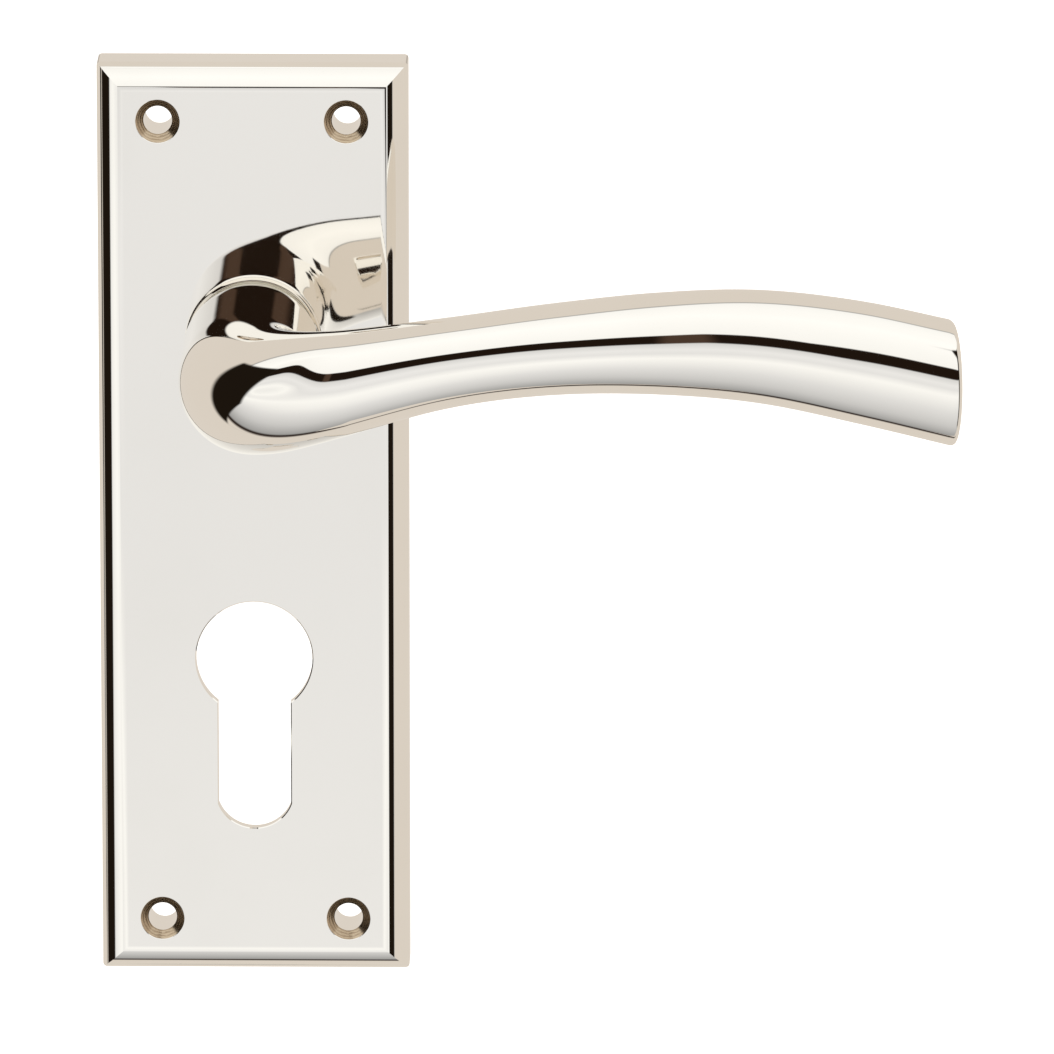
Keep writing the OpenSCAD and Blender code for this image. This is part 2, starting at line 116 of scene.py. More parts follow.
class Tree:
    """A thin wrapper that adds and links nodes in a node tree."""

    def __init__(self, tree: bpy.types.NodeTree) -> None:
        """Keeps the shader or geometry tree that it builds in."""
        self.tree = tree

    def add(self, kind: str, inputs: dict | None = None, **settings: object) -> bpy.types.Node:
        """Adds a node, sets its settings and fills its inputs.

        Args:
            kind: the node's type name.
            inputs: values or sockets by input name or index.
            settings: the node's own properties.

        Returns:
            The new node.
        """
        node = self.tree.nodes.new(kind)
        for name, value in settings.items():
            setattr(node, name, value)
        for key, value in (inputs or {}).items():
            if isinstance(value, Socket):
                self.tree.links.new(value, node.inputs[key])
            else:
                node.inputs[key].default_value = value
        return node

    def math(self, operation: str, a: object, b: object = 0.0, c: object = 0.0) -> Socket:
        """The output of a Math node."""
        return self.add("ShaderNodeMath", {0: a, 1: b, 2: c}, operation=operation).outputs[0]

    def product(self, first: object, *others: object) -> Socket:
        """Multiplies values or sockets.

        Args:
            first: the first one.
            others: the rest.

        Returns:
            The product's output socket.
        """
        for other in others:
            first = self.math("MULTIPLY", first, other)
        return first

    def vector(self, operation: str, a: object, b: object = (0, 0, 0)) -> Socket:
        """The vector output of a Vector Math node."""
        return self.add("ShaderNodeVectorMath", {0: a, 1: b}, operation=operation).outputs[0]

    def noise(self, place: object, scale: object, detail: float, bend: float = 0.0) -> Socket:
        """The strength of a noise texture."""
        return self.add("ShaderNodeTexNoise", {"Vector": place, "Scale": scale, "Detail": detail,
                                               "Distortion": bend}).outputs[0]

    def line(self, value: object, low: float, high: float) -> Socket:
        """A straight climb from 0 at low to 1 at high."""
        return self.add("ShaderNodeMapRange", {0: value, 1: low, 2: high}).outputs[0]

    def rise(self, value: object, low: float, high: float) -> Socket:
        """A smooth climb from 0 at low to 1 at high."""
        return self.add("ShaderNodeMapRange", {0: value, 1: low, 2: high, 3: 0.0, 4: 1.0},
                        interpolation_type="SMOOTHSTEP").outputs[0]

    def fall(self, value: object, low: float, high: float) -> Socket:
        """A smooth drop from 1 at low to 0 at high."""
        return self.math("SUBTRACT", 1.0, self.rise(value, low, high))

    def ramp(self, value: object, stops: list[tuple[float, Colour]]) -> Socket:
        """A colour ramp.

        Args:
            value: the socket that drives it.
            stops: places from 0 to 1 with their linear colours.

        Returns:
            The ramp's colour output.
        """
        node = self.add("ShaderNodeValToRGB", {0: value})
        elements = node.color_ramp.elements
        while len(elements) < len(stops):
            elements.new(0.5)
        for element, (place, colour) in zip(elements, stops):
            element.position = place
            element.color = (*colour, 1.0)
        return node.outputs[0]

    def mix(self, factor: object, a: object, b: object) -> Socket:
        """Mixes two colours.

        Args:
            factor: how much of b shows.
            a: the first colour or socket.
            b: the second colour or socket.

        Returns:
            The mixed colour's output socket.
        """
        a, b = (c if isinstance(c, Socket) else (*c, 1.0) for c in (a, b))
        return self.add("ShaderNodeMix", {0: factor, 6: a, 7: b}, data_type="RGBA").outputs[2]

    def send(self, node: bpy.types.Node, **values: Socket) -> None:
        """Links sockets to a node's inputs by name."""
        for name, value in values.items():
            self.tree.links.new(value, node.inputs[name])


def open_effect(effect: Effect, inputs: list[tuple[str, Kind, object]]
                ) -> tuple[Tree, bpy.types.Node, bpy.types.Node]:
    """Starts a shader node group that puts out a colour, a roughness and a height.

    Args:
        effect: the effect it makes.
        inputs: name, kind and default value of each input after Place.

    Returns:
        The tree, its input node and its output node.
    """
    group = bpy.data.node_groups.new(effect.value, "ShaderNodeTree")
    for label, kind, default in [("Place", Kind.VECTOR, (0, 0, 0)), *inputs]:
        socket = group.interface.new_socket(label, in_out="INPUT", socket_type=kind.value)
        socket.default_value = default
    for label, kind in (("Colour", Kind.COLOUR), ("Roughness", Kind.NUMBER),
                        ("Height", Kind.NUMBER)):
        group.interface.new_socket(label, in_out="OUTPUT", socket_type=kind.value)
    tree = Tree(group)
    return tree, tree.add("NodeGroupInput"), tree.add("NodeGroupOutput")


def polish_group() -> bpy.types.NodeTree:
    """Hand polish: faint swirls, fine scratches and a slow change of tone.

    Returns:
        The shader node group.
    """
    tree, inside, outside = open_effect(Effect.POLISH, [
        ("Tint", Kind.COLOUR, (0.8, 0.8, 0.8, 1)), ("Dark Tint", Kind.COLOUR, (0.7, 0.7, 0.7, 1)),
        ("Roughness", Kind.NUMBER, 0.03), ("Wear", Kind.NUMBER, 0.02)])
    given = inside.outputs
    place = given["Place"]
    smudge = tree.rise(tree.noise(place, 38.0, 4.0), 0.42, 0.72)
    stretched = tree.vector("MULTIPLY", place, (160.0, 1400.0, 2600.0))
    lines = tree.rise(tree.noise(stretched, 1.0, 2.0, 0.6), 0.62, 0.74)
    worn = tree.math("MULTIPLY_ADD", smudge, 0.6, tree.product(lines, 0.4))
    tree.send(outside,
              Colour=tree.mix(tree.product(smudge, 0.5), given["Tint"], given["Dark Tint"]),
              Roughness=tree.math("MULTIPLY_ADD", worn, given["Wear"], given["Roughness"]),
              Height=tree.math("MULTIPLY_ADD", lines, 0.12, tree.noise(place, 260.0, 1.0)))
    return tree.tree


def turning_group() -> bpy.types.NodeTree:
    """Rings that a cutting tool leaves about the Y axis of the place it is given.

    Returns:
        The shader node group.
    """
    tree, inside, outside = open_effect(Effect.TURNING, [
        ("Tint", Kind.COLOUR, (0.8, 0.8, 0.8, 1)), ("Dark Tint", Kind.COLOUR, (0.4, 0.4, 0.4, 1)),
        ("Pitch", Kind.NUMBER, 0.12), ("Roughness", Kind.NUMBER, 0.2)])
    given = inside.outputs
    flat = tree.vector("MULTIPLY", given["Place"], (1.0, 0.0, 1.0))
    radius = tree.add("ShaderNodeVectorMath", {0: flat}, operation="LENGTH").outputs["Value"]
    wobble = tree.noise(given["Place"], 900.0, 3.0)
    turns = tree.math("DIVIDE", radius, tree.product(given["Pitch"], MM))
    phase = tree.math("MULTIPLY_ADD", wobble, 1.2, turns)
    wave = tree.math("MULTIPLY_ADD", tree.math("SINE", tree.product(phase, math.tau)), 0.5, 0.5)
    tree.send(outside,
              Colour=tree.mix(tree.product(wave, wobble), given["Tint"], given["Dark Tint"]),
              Roughness=tree.math("MULTIPLY_ADD", wobble, 0.12, given["Roughness"]),
              Height=wave)
    return tree.tree


def grain_group() -> bpy.types.NodeTree:
    """Cloudy tone with fine grain, stretched along a chosen direction.

    Returns:
        The shader node group.
    """
    tree, inside, outside = open_effect(Effect.GRAIN, [
        ("Stretch", Kind.VECTOR, (1, 1, 1)), ("Tint", Kind.COLOUR, (0.8, 0.8, 0.8, 1)),
        ("Dark Tint", Kind.COLOUR, (0.4, 0.4, 0.4, 1)), ("Grain", Kind.NUMBER, 900.0),
        ("Cloud", Kind.NUMBER, 120.0), ("Roughness", Kind.NUMBER, 0.4),
        ("Spread", Kind.NUMBER, 0.15)])
    given = inside.outputs
    place = tree.vector("MULTIPLY", given["Place"], given["Stretch"])
    cloud = tree.noise(given["Place"], given["Cloud"], 5.0)
    fine = tree.noise(place, given["Grain"], 3.0)
    tone = tree.math("MULTIPLY_ADD", tree.rise(cloud, 0.35, 0.7), 0.65, tree.product(fine, 0.35))
    tree.send(outside, Colour=tree.mix(tone, given["Tint"], given["Dark Tint"]),
              Roughness=tree.math("MULTIPLY_ADD", fine, given["Spread"], given["Roughness"]),
              Height=fine)
    return tree.tree


def effect_group(effect: Effect) -> bpy.types.NodeTree:
    """An effect's shader node group, built the first time it is asked for.

    Args:
        effect: the effect.

    Returns:
        The group.
    """
    makers = {Effect.POLISH: polish_group, Effect.TURNING: turning_group,
              Effect.GRAIN: grain_group}
    return bpy.data.node_groups.get(effect.value) or makers[effect]()


def open_shape(name: str, sizes: list[tuple[str, Kind]]) -> tuple[Tree, bpy.types.Node]:
    """Starts a geometry node tree with a shape, named sizes and a finish as its inputs.

    Args:
        name: the tree's name.
        sizes: name and kind of each size.

    Returns:
        The tree and its input node.
    """
    group = bpy.data.node_groups.new(name, "GeometryNodeTree")
    for label, kind in [("Geometry", Kind.SHAPE), *sizes, ("Finish", Kind.FINISH)]:
        group.interface.new_socket(label, in_out="INPUT", socket_type=kind.value)
    group.interface.new_socket("Geometry", in_out="OUTPUT", socket_type=Kind.SHAPE.value)
    tree = Tree(group)
    return tree, tree.add("NodeGroupInput")


def close_shape(tree: Tree, inside: bpy.types.Node, shape: Socket) -> bpy.types.NodeTree:
    """Ends a geometry node tree: realizes the shape and gives it the finish.

    Args:
        tree: the tree.
        inside: its input node.
        shape: the geometry that it has made.

    Returns:
        The finished geometry node tree.
    """
    real = tree.add("GeometryNodeRealizeInstances", {0: shape}).outputs[0]
    dressed = tree.add("GeometryNodeSetMaterial",
                       {"Geometry": real, "Material": inside.outputs["Finish"]})
    tree.add("NodeGroupOutput", {0: dressed.outputs[0]})
    return tree.tree


# ---- finishes ----------------------------------------------------------------------------------


@dataclass(frozen=True)
class Finish:
    """A finish: one effect group feeding a Principled shader."""

    name: str
    effect: Effect
    tint: Colour
    dark: Colour
    roughness: float
    metallic: float = 1.0
    bump: float = 0.1
    bump_mm: float = 0.002
    centre: Point = (0.0, 0.0, 0.0)
    extra: dict = field(default_factory=dict)

    def material(self) -> bpy.types.Material:
        """Builds the material, or returns it if it is there already.

        Returns:
            The finished material.
        """
        if self.name in bpy.data.materials:
            return bpy.data.materials[self.name]
        material = bpy.data.materials.new(self.name)
        material.use_nodes = True
        material.node_tree.nodes.clear()
        tree = Tree(material.node_tree)
        place = tree.add("ShaderNodeTexCoord").outputs["Object"]
        moved = tree.add("ShaderNodeMapping",
                         {"Vector": place, "Location": tuple(-MM * c for c in self.centre)})
        effect = tree.add("ShaderNodeGroup", node_tree=effect_group(self.effect))
        tree.tree.links.new(moved.outputs[0], effect.inputs["Place"])
        given = {"Tint": (*self.tint, 1.0), "Dark Tint": (*self.dark, 1.0),
                 "Roughness": self.roughness, **self.extra}
        for label, value in given.items():
            effect.inputs[label].default_value = value
        bump = tree.add("ShaderNodeBump", {"Strength": self.bump, "Distance": self.bump_mm * MM,
                                           "Height": effect.outputs["Height"]})
        shader = tree.add("ShaderNodeBsdfPrincipled", {
            "Base Color": effect.outputs["Colour"], "Metallic": self.metallic,
            "Roughness": effect.outputs["Roughness"], "Normal": bump.outputs[0]})
        tree.add("ShaderNodeOutputMaterial", {"Surface": shader.outputs[0]})
        return material


NICKEL_TINT = (0.955, 0.93, 0.885)
NICKEL_DULL = (0.925, 0.9, 0.85)
PLATE_NICKEL = Finish("polished_nickel_plate", Effect.POLISH, NICKEL_TINT, NICKEL_DULL, 0.025,
                      bump=0.05, bump_mm=0.001, extra={"Wear": 0.03})
LEVER_NICKEL = Finish("polished_nickel_lever", Effect.POLISH, NICKEL_TINT, NICKEL_DULL, 0.02,
                      bump=0.04, bump_mm=0.001, extra={"Wear": 0.025})
CAST_BACK = Finish("cast_back", Effect.GRAIN, (0.74, 0.71, 0.66), (0.5, 0.47, 0.43), 0.34,
                   bump=0.5, bump_mm=0.03, extra={"Grain": 1500.0, "Cloud": 90.0})
NYLON = Finish("white_nylon", Effect.GRAIN, (0.8, 0.78, 0.7), (0.68, 0.65, 0.56), 0.38,
               metallic=0.0, bump=0.25, bump_mm=0.01, extra={"Grain": 2600.0})
DARK_NYLON = Finish("glass_filled_nylon", Effect.GRAIN, (0.02, 0.02, 0.022),
                    (0.05, 0.05, 0.052), 0.42, metallic=0.0, bump=0.4, bump_mm=0.02,
                    extra={"Grain": 2200.0})
SPRING_STEEL = Finish("oiled_spring_steel", Effect.GRAIN, (0.34, 0.33, 0.33),
                      (0.2, 0.18, 0.17), 0.26, bump=0.3, bump_mm=0.008,
                      extra={"Stretch": (1.0, 0.3, 1.0), "Grain": 1800.0})
ZINC_PLATE = Finish("zinc_plated_sheet", Effect.GRAIN, (0.78, 0.79, 0.8), (0.56, 0.58, 0.62),
                    0.24, bump=0.35, bump_mm=0.01,
                    extra={"Stretch": (0.12, 1.0, 1.0), "Grain": 2400.0})
SCREW_ZINC = Finish("yellow_zinc_screw", Effect.GRAIN, (0.84, 0.75, 0.5), (0.66, 0.6, 0.55),
                    0.22, bump=0.3, bump_mm=0.006, extra={"Grain": 3000.0, "Cloud": 420.0})
SPINDLE_STEEL = Finish("drawn_steel", Effect.GRAIN, (0.6, 0.6, 0.61), (0.44, 0.43, 0.43), 0.22,
                       bump=0.4, bump_mm=0.01,
                       extra={"Stretch": (1.0, 0.03, 1.0), "Grain": 2600.0})
BLACK_STEEL = Finish("black_oxide", Effect.GRAIN, (0.035, 0.035, 0.04), (0.09, 0.085, 0.08),
                     0.3, metallic=0.85, bump=0.3, bump_mm=0.006, extra={"Grain": 3200.0})
WASHER_STEEL = Finish("ground_washer_steel", Effect.TURNING, (0.7, 0.7, 0.69),
                      (0.5, 0.49, 0.47), 0.2, bump=0.3, bump_mm=0.004, extra={"Pitch": 0.14})
CAM_STEEL = Finish("stamped_cam_steel", Effect.GRAIN, (0.72, 0.69, 0.63), (0.52, 0.49, 0.45),
                   0.28, bump=0.35, bump_mm=0.01,
                   extra={"Stretch": (1.0, 1.0, 0.15), "Grain": 2200.0})
SHANK_STEEL = Finish("turned_shank", Effect.GRAIN, (0.78, 0.76, 0.72), (0.6, 0.58, 0.54), 0.2,
                     bump=0.3, bump_mm=0.006,
                     extra={"Stretch": (0.15, 1.0, 0.15), "Grain": 2600.0})


def sink_finish(index: int, x: float, z: float) -> Finish:
    """The turned finish of one countersink, with its marks about the hole's centre.

    Args:
        index: the hole's number, from 1.
        x: the hole's place across the plate.
        z: its place up the plate.

    Returns:
        Its finish.
    """
    return Finish(f"turned_sink_{index}", Effect.TURNING, (0.62, 0.5, 0.36), (0.3, 0.21, 0.13),
                  0.16, bump=0.6, bump_mm=0.01, centre=(x, 0.0, z), extra={"Pitch": 0.34})


# ---- mesh helpers ------------------------------------------------------------------------------


def link(name: str, data: bpy.types.Mesh) -> Piece:
    """Puts a mesh in the scene under a name.

    Args:
        name: the new object's name.
        data: its mesh.

    Returns:
        The new object.
    """
    piece = bpy.data.objects.new(name, data)
    bpy.context.scene.collection.objects.link(piece)
    return piece


def new_object(name: str, mesh: bmesh.types.BMesh, sharp_deg: float = 30.0) -> Piece:
    """Turns a bmesh in metres into an object with outward, smooth normals.

    Args:
        name: the object's name.
        mesh: the bmesh, which is freed.
        sharp_deg: edges that turn by more than this stay sharp.

    Returns:
        The new object, linked to the scene.
    """
    bmesh.ops.remove_doubles(mesh, verts=mesh.verts, dist=MERGE)
    bmesh.ops.recalc_face_normals(mesh, faces=mesh.faces)
    data = bpy.data.meshes.new(name)
    mesh.to_mesh(data)
    mesh.free()
    piece = link(name, data)
    smooth(piece, sharp_deg)
    return piece


def smooth(piece: Piece, sharp_deg: float) -> None:
    """Shades a piece smooth, with sharp edges past an angle in degrees."""
    piece.data.polygons.foreach_set("use_smooth", [True] * len(piece.data.polygons))
    piece.data.set_sharp_from_angle(angle=math.radians(sharp_deg))


def bake(piece: Piece) -> None:
    """Replaces a piece's mesh with what its modifiers make, and removes them.

    Args:
        piece: the object.
    """
    bpy.context.view_layer.update()
    shown = piece.evaluated_get(bpy.context.evaluated_depsgraph_get())
    result = bpy.data.meshes.new_from_object(shown)
    piece.modifiers.clear()
    piece.data = result
    piece.data.name = piece.name


def grow(piece: Piece, group: bpy.types.NodeTree, values: dict[str, object]) -> None:
    """Runs a geometry node tree on a piece and keeps the mesh that it makes.

    Args:
        piece: the object.
        group: the geometry node tree.
        values: the tree's inputs by name, which are set by their identifiers.
    """
    modifier = piece.modifiers.new(group.name, "NODES")
    modifier.node_group = group
    for item in group.interface.items_tree:
        if item.in_out == "INPUT" and item.name in values:
            modifier[item.identifier] = values[item.name]
    bake(piece)


def carve(piece: Piece, tools: list[Piece], operation: str = "DIFFERENCE") -> None:
    """Cuts or joins closed meshes, deletes the tools and closes any sliver that is left.

    Args:
        piece: the object that is changed.
        tools: the closed objects to cut with or to join.
        operation: DIFFERENCE or UNION.
    """
    for tool in tools:
        cut = piece.modifiers.new("carve", "BOOLEAN")
        cut.operation, cut.solver, cut.object = operation, "EXACT", tool
    bake(piece)
    mesh = bmesh.new()
    mesh.from_mesh(piece.data)
    bmesh.ops.dissolve_degenerate(mesh, edges=mesh.edges, dist=SLIVER * MM)
    gaps = [edge for edge in mesh.edges if edge.is_boundary]
    bmesh.ops.holes_fill(mesh, edges=gaps, sides=8)
    bmesh.ops.recalc_face_normals(mesh, faces=mesh.faces)
    mesh.to_mesh(piece.data)
    mesh.free()
    for tool in tools:
        bpy.data.objects.remove(tool, do_unlink=True)


def loft(mesh: bmesh.types.BMesh, rings: list[list[Point]], caps: bool = True) -> None:
    """Joins rings of points, in millimetres, with quads and closes the two ends.

    Args:
        mesh: the bmesh to add to.
        rings: rings with the same number of points.
        caps: whether the ends are closed.
    """
    rows = [[mesh.verts.new(tuple(MM * c for c in p)) for p in ring] for ring in rings]
    for lower, upper in zip(rows, rows[1:]):
        for k, vert in enumerate(lower):
            n = (k + 1) % len(lower)
            mesh.faces.new((vert, lower[n], upper[n], upper[k]))
    if caps:
        mesh.faces.new(rows[0][::-1])
        mesh.faces.new(rows[-1])


def lofted(name: str, rings: list[list[Point]], sharp_deg: float = 30.0) -> Piece:
    """A closed solid through rings of points, in millimetres.

    Args:
        name: the object's name.
        rings: rings with the same number of points.
        sharp_deg: edges that turn by more than this stay sharp.

    Returns:
        The new object.
    """
    mesh = bmesh.new()
    loft(mesh, rings)
    return new_object(name, mesh, sharp_deg)


def lathe(name: str, profile: Outline, steps: int = 96, x: float = 0.0, z: float = 0.0) -> Piece:
    """A turned solid about an axis along Y, from a closed profile of (radius, y) points.

    Args:
        name: the object's name.
        profile: the closed profile; a radius of 0 lies on the axis.
        steps: the number of sides.
        x: the axis's place across.
        z: the axis's height.

    Returns:
        The new object.
    """
    turns = [math.tau * k / steps for k in range(steps)]
    rings = [[(x + r * math.cos(a), y, z + r * math.sin(a)) for a in turns] for r, y in profile]
    if all(r > 0 for r, _ in profile):
        rings.append(rings[0])
    mesh = bmesh.new()
    loft(mesh, rings, caps=False)
    bmesh.ops.remove_doubles(mesh, verts=mesh.verts, dist=MERGE)
    return new_object(name, mesh)


def prism(name: str, outline: Outline, y0: float, y1: float, edge: float = 0.0,
          steps: int = 1) -> Piece:
    """An outline in the XZ plane run along Y, with its two rims rounded or bevelled.

    Args:
        name: the object's name.
        outline: the points, in order.
        y0: where it starts.
        y1: where it ends.
        edge: the rims' rounding.
        steps: how many bands make the rounding.

    Returns:
        The new object.
    """
    turns = [math.pi / 2 * i / steps for i in range(steps + 1)] if edge else [math.pi / 2]
    bands = [(edge * (1 - math.cos(a)), edge * (1 - math.sin(a))) for a in turns]
    rows = [(y0 + drop, inset) for drop, inset in bands]
    rows += [(y1 - drop, inset) for drop, inset in reversed(bands)]
    return lofted(name, [[(x, y, z) for x, z in shrink(outline, inset)] for y, inset in rows])


def shrink(outline: Outline, inset: float) -> Outline:
    """Moves each point of a closed outline inwards, square to its neighbours.

    Args:
        outline: the points, anticlockwise in (x, z).
        inset: how far.

    Returns:
        The moved points.
    """
    if not inset:
        return list(outline)
    result = []
    for k, (x, z) in enumerate(outline):
        (ax, az), (bx, bz) = outline[k - 1], outline[(k + 1) % len(outline)]
        one = Vector((x - ax, z - az)).normalized()
        two = Vector((bx - x, bz - z)).normalized()
        normal = Vector((-one.y - two.y, one.x + two.x))
        scale = max(0.3, 1 + one.dot(two)) if normal.length else 1.0
        result.append((x + inset * normal.x / scale, z + inset * normal.y / scale))
    return result


def circle(radius: float, centre: Pair = (0.0, 0.0), steps: int = 64, start: float = 0.0,
           sweep: float = 360.0) -> Outline:
    """Points of a circle or an arc, anticlockwise.

    Args:
        radius: its radius.
        centre: its centre.
        steps: how many parts it is cut into.
        start: the first point's angle in degrees.
        sweep: how far it runs.

    Returns:
        The points; a full circle doesn't repeat its first one.
    """
    count = steps if abs(sweep) >= 360 else steps + 1
    turns = [math.radians(start + sweep * k / steps) for k in range(count)]
    return [(centre[0] + radius * math.cos(a), centre[1] + radius * math.sin(a)) for a in turns]


def rounded_box(w: float, h: float, r: float, steps: int = 6, z: float = 0.0) -> Outline:
    """A rectangle with rounded corners, anticlockwise.

    Args:
        w: its width.
        h: its height.
        r: the corners' radius.
        steps: parts in each corner.
        z: its middle's height.

    Returns:
        The points.
    """
    points: Outline = []
    for sx, sz, start in ((1, 1, 0), (-1, 1, 90), (-1, -1, 180), (1, -1, 270)):
        points += circle(r, (sx * (w / 2 - r), z + sz * (h / 2 - r)), steps, start, 90)
    return points


def dress(piece: Piece, finishes: list[Finish], body: Body | None,
          stands_for: str) -> None:
    """Gives a piece its finishes and its body, and hides the CAD node that it stands for.

    Args:
        piece: the finished object.
        finishes: the materials, in slot order.
        body: the body that it rides on, or None for a piece that is attached to neither body.
        stands_for: the CAD node that it replaces.
    """
    piece.data.materials.clear()
    for finish in finishes:
        piece.data.materials.append(finish.material())
    if body:
        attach(piece, body.value)
    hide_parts(stands_for)
    where = body.value if body else "both bodies"
    log.info("%s: %d faces on %s", piece.name, len(piece.data.polygons), where)


def cad_corners(node: str) -> tuple[Vector, Vector]:
    """A CAD node's lowest and highest corners, in millimetres."""
    low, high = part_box(node)
    return Vector(low) / MM, Vector(high) / MM


# ---- backplate ---------------------------------------------------------------------------------


@dataclass
class Backplate:
    """The cast and polished plate with its moulding, holes and hollow back."""

    face_wall: float = 1.8
    side_wall: float = 2.2
    moulding_r: float = 6.1
    moulding_w: float = 3.7
    outer_lean: float = 63.0
    inner_lean: float = 18.0
    shoulder_r: float = 0.4
    blend_r: float = 2.6
    corner_r: float = 0.6
    screw_inset: Pair = (9.15, 8.45)
    screw_hole_d: float = 4.3
    countersink_d: float = 6.5
    pillar_d: float = 9.4
    centres: float = 48.0
    euro_d: float = 17.5
    euro_leg_w: float = 10.9
    euro_drop: float = 26.4
    euro_foot_r: float = 5.8
    boss_d: float = 18.6
    boss_h: float = 1.4
    boss_edge: float = 0.25
    inner_boss_y: float = -4.9
    bore_d: float = 16.1
    cover_screw: Pair = (12.9, 15.41)
    cover_y: float = -1.3
    post_d: float = 6.0
    post_hole_d: float = 3.0
    rib_z: Pair = (-21.2, -77.6)
    rib_size: Pair = (1.6, 4.0)
    root: float = 0.4
    rim: float = 0.14

    def __post_init__(self) -> None:
        """Reads the plate's outline from the frame."""
        low, high = cad_corners("backplate")
        self.width, self.height = high.x - low.x, high.z - low.z
        self.middle = (low.z + high.z) / 2
        self.face_y = low.y + self.boss_h
        self.cavity_y = self.face_y + self.face_wall
        across, up = (size / 2 - inset for size, inset in
                      zip((self.width, self.height), self.screw_inset))
        self.screws = [(sx * across, self.middle + sz * up) for sz in (1, -1) for sx in (-1, 1)]
        x, z = self.cover_screw
        self.posts = [(sx * x, sz * z) for sz in (1, -1) for sx in (-1, 1)]

    def moulding(self) -> Outline:
        """The moulding's profile from the door to the flat face.

        Returns:
            Pairs of inset from the outline and depth from the door.
        """
        sin, cos = math.sin, math.cos
        r, shoulder, blend = self.moulding_r, self.shoulder_r, self.blend_r
        out, inn = math.radians(self.outer_lean), math.radians(self.inner_lean)
        base = -self.face_y - r * (cos(inn) - cos(out))
        first = math.asin((r * sin(out) - shoulder) / (r - shoulder))
        last = math.acos((r * cos(inn) - blend) / (r - blend))

        def arc(lean: float) -> Pair:
            """The bead's point where its surface leans by an angle."""
            return r * (sin(out) - sin(lean)), base + r * (cos(lean) - cos(out))

        inset, depth = arc(first)
        rows = [(0.0, 0.0), (0.0, depth - shoulder * cos(first) - 0.05)]
        for i in range(5):
            a = math.pi / 2 + (first - math.pi / 2) * i / 5
            rows.append((inset - shoulder * (sin(a) - sin(first)),
                         depth - shoulder * (cos(first) - cos(a))))
        rows += [arc(first + (last - first) * i / 26) for i in range(27)]
        inset, depth = arc(last)
        for i in range(1, 9):
            a = last * (1 - i / 8)
            rows.append((inset + blend * (sin(last) - sin(a)),
                         depth + blend * (cos(a) - cos(last))))
        rows.append((rows[-1][0] + 0.04, rows[-1][1]))
        return rows

    def blank(self) -> Piece:
        """The solid plate before anything is cut.

        Returns:
            The plate's object.
        """
        rings = []
        for inset, depth in self.moulding():
            outline = rounded_box(self.width - 2 * inset, self.height - 2 * inset,
                                  max(self.corner_r - inset, 0.0), z=self.middle)
            rings.append([(x, -depth, z) for x, z in outline])
        return lofted("moulded_plate", rings)

    def euro_outline(self, grow_by: float) -> Outline:
        """The keyhole-shaped outline of the cut-out, anticlockwise.

        Args:
            grow_by: how far it is widened all round.

        Returns:
            The points.
        """
        r, half = self.euro_d / 2 + grow_by, self.euro_leg_w / 2 + grow_by
        foot = self.euro_foot_r + grow_by
        start, turn = (math.degrees(math.asin(half / radius)) for radius in (r, foot))
        foot_z = self.euro_foot_r - self.centres - self.euro_drop
        return (circle(r, (0.0, -self.centres), 72, -90 + start, 360 - 2 * start)
                + circle(foot, (0.0, foot_z), 28, -90 - turn, 2 * turn))

    def euro_cutter(self) -> Piece:
        """The tool for the cut-out, flared so that its front edge is rounded.

        Returns:
            The cutter.
        """
        rows = [(self.face_y - 1, self.rim), (self.face_y, self.rim)]
        for i in range(1, 5):
            bite = self.rim * math.sin(math.pi / 8 * i)
            rows.append((self.face_y + bite, self.rim - bite))
        rows.append((1.0, 0.0))
        return lofted("euro_cutter", [[(x, y, z) for x, z in self.euro_outline(wider)]
                                      for y, wider in rows])

    def sink_cutter(self, x: float, z: float) -> Piece:
        """The tool for one countersunk hole.

        Args:
            x: the hole's place across the plate.
            z: its place up the plate.

        Returns:
            The cutter.
        """
        r, mouth, rim, face = self.screw_hole_d / 2, self.countersink_d / 2, self.rim, self.face_y
        profile = [(0, face - 1), (mouth + rim * 0.6, face - 1), (mouth + rim * 0.6, face),
                   (mouth + rim * 0.15, face + rim * 0.3), (mouth - rim * 0.5, face + rim),
                   (r, face + mouth - r), (r, 1), (0, 1)]
        return lathe("sink_cutter", profile, 72, x, z)

    def rod(self, d: float, y0: float, y1: float, x: float = 0.0, z: float = 0.0) -> Piece:
        """A round bar along Y, for joining or cutting."""
        return lathe("rod", [(0, y0), (d / 2, y0), (d / 2, y1), (0, y1)], 72, x, z)

    def block(self, w: float, h: float, y0: float, y1: float, z: float) -> Piece:
        """A block between two depths, for joining or cutting."""
        return prism("block", rounded_box(w, h, 0.3, 3, z), y0, y1)

    def boss(self) -> Piece:
        """The round boss in front of and behind the face, before it is bored.

        Returns:
            The boss's object.
        """
        r, front, edge = self.boss_d / 2, self.face_y - self.boss_h, self.boss_edge
        return lathe("boss", [(0, front), (r - edge, front), (r, front + edge),
                              (r, self.inner_boss_y), (0, self.inner_boss_y)])

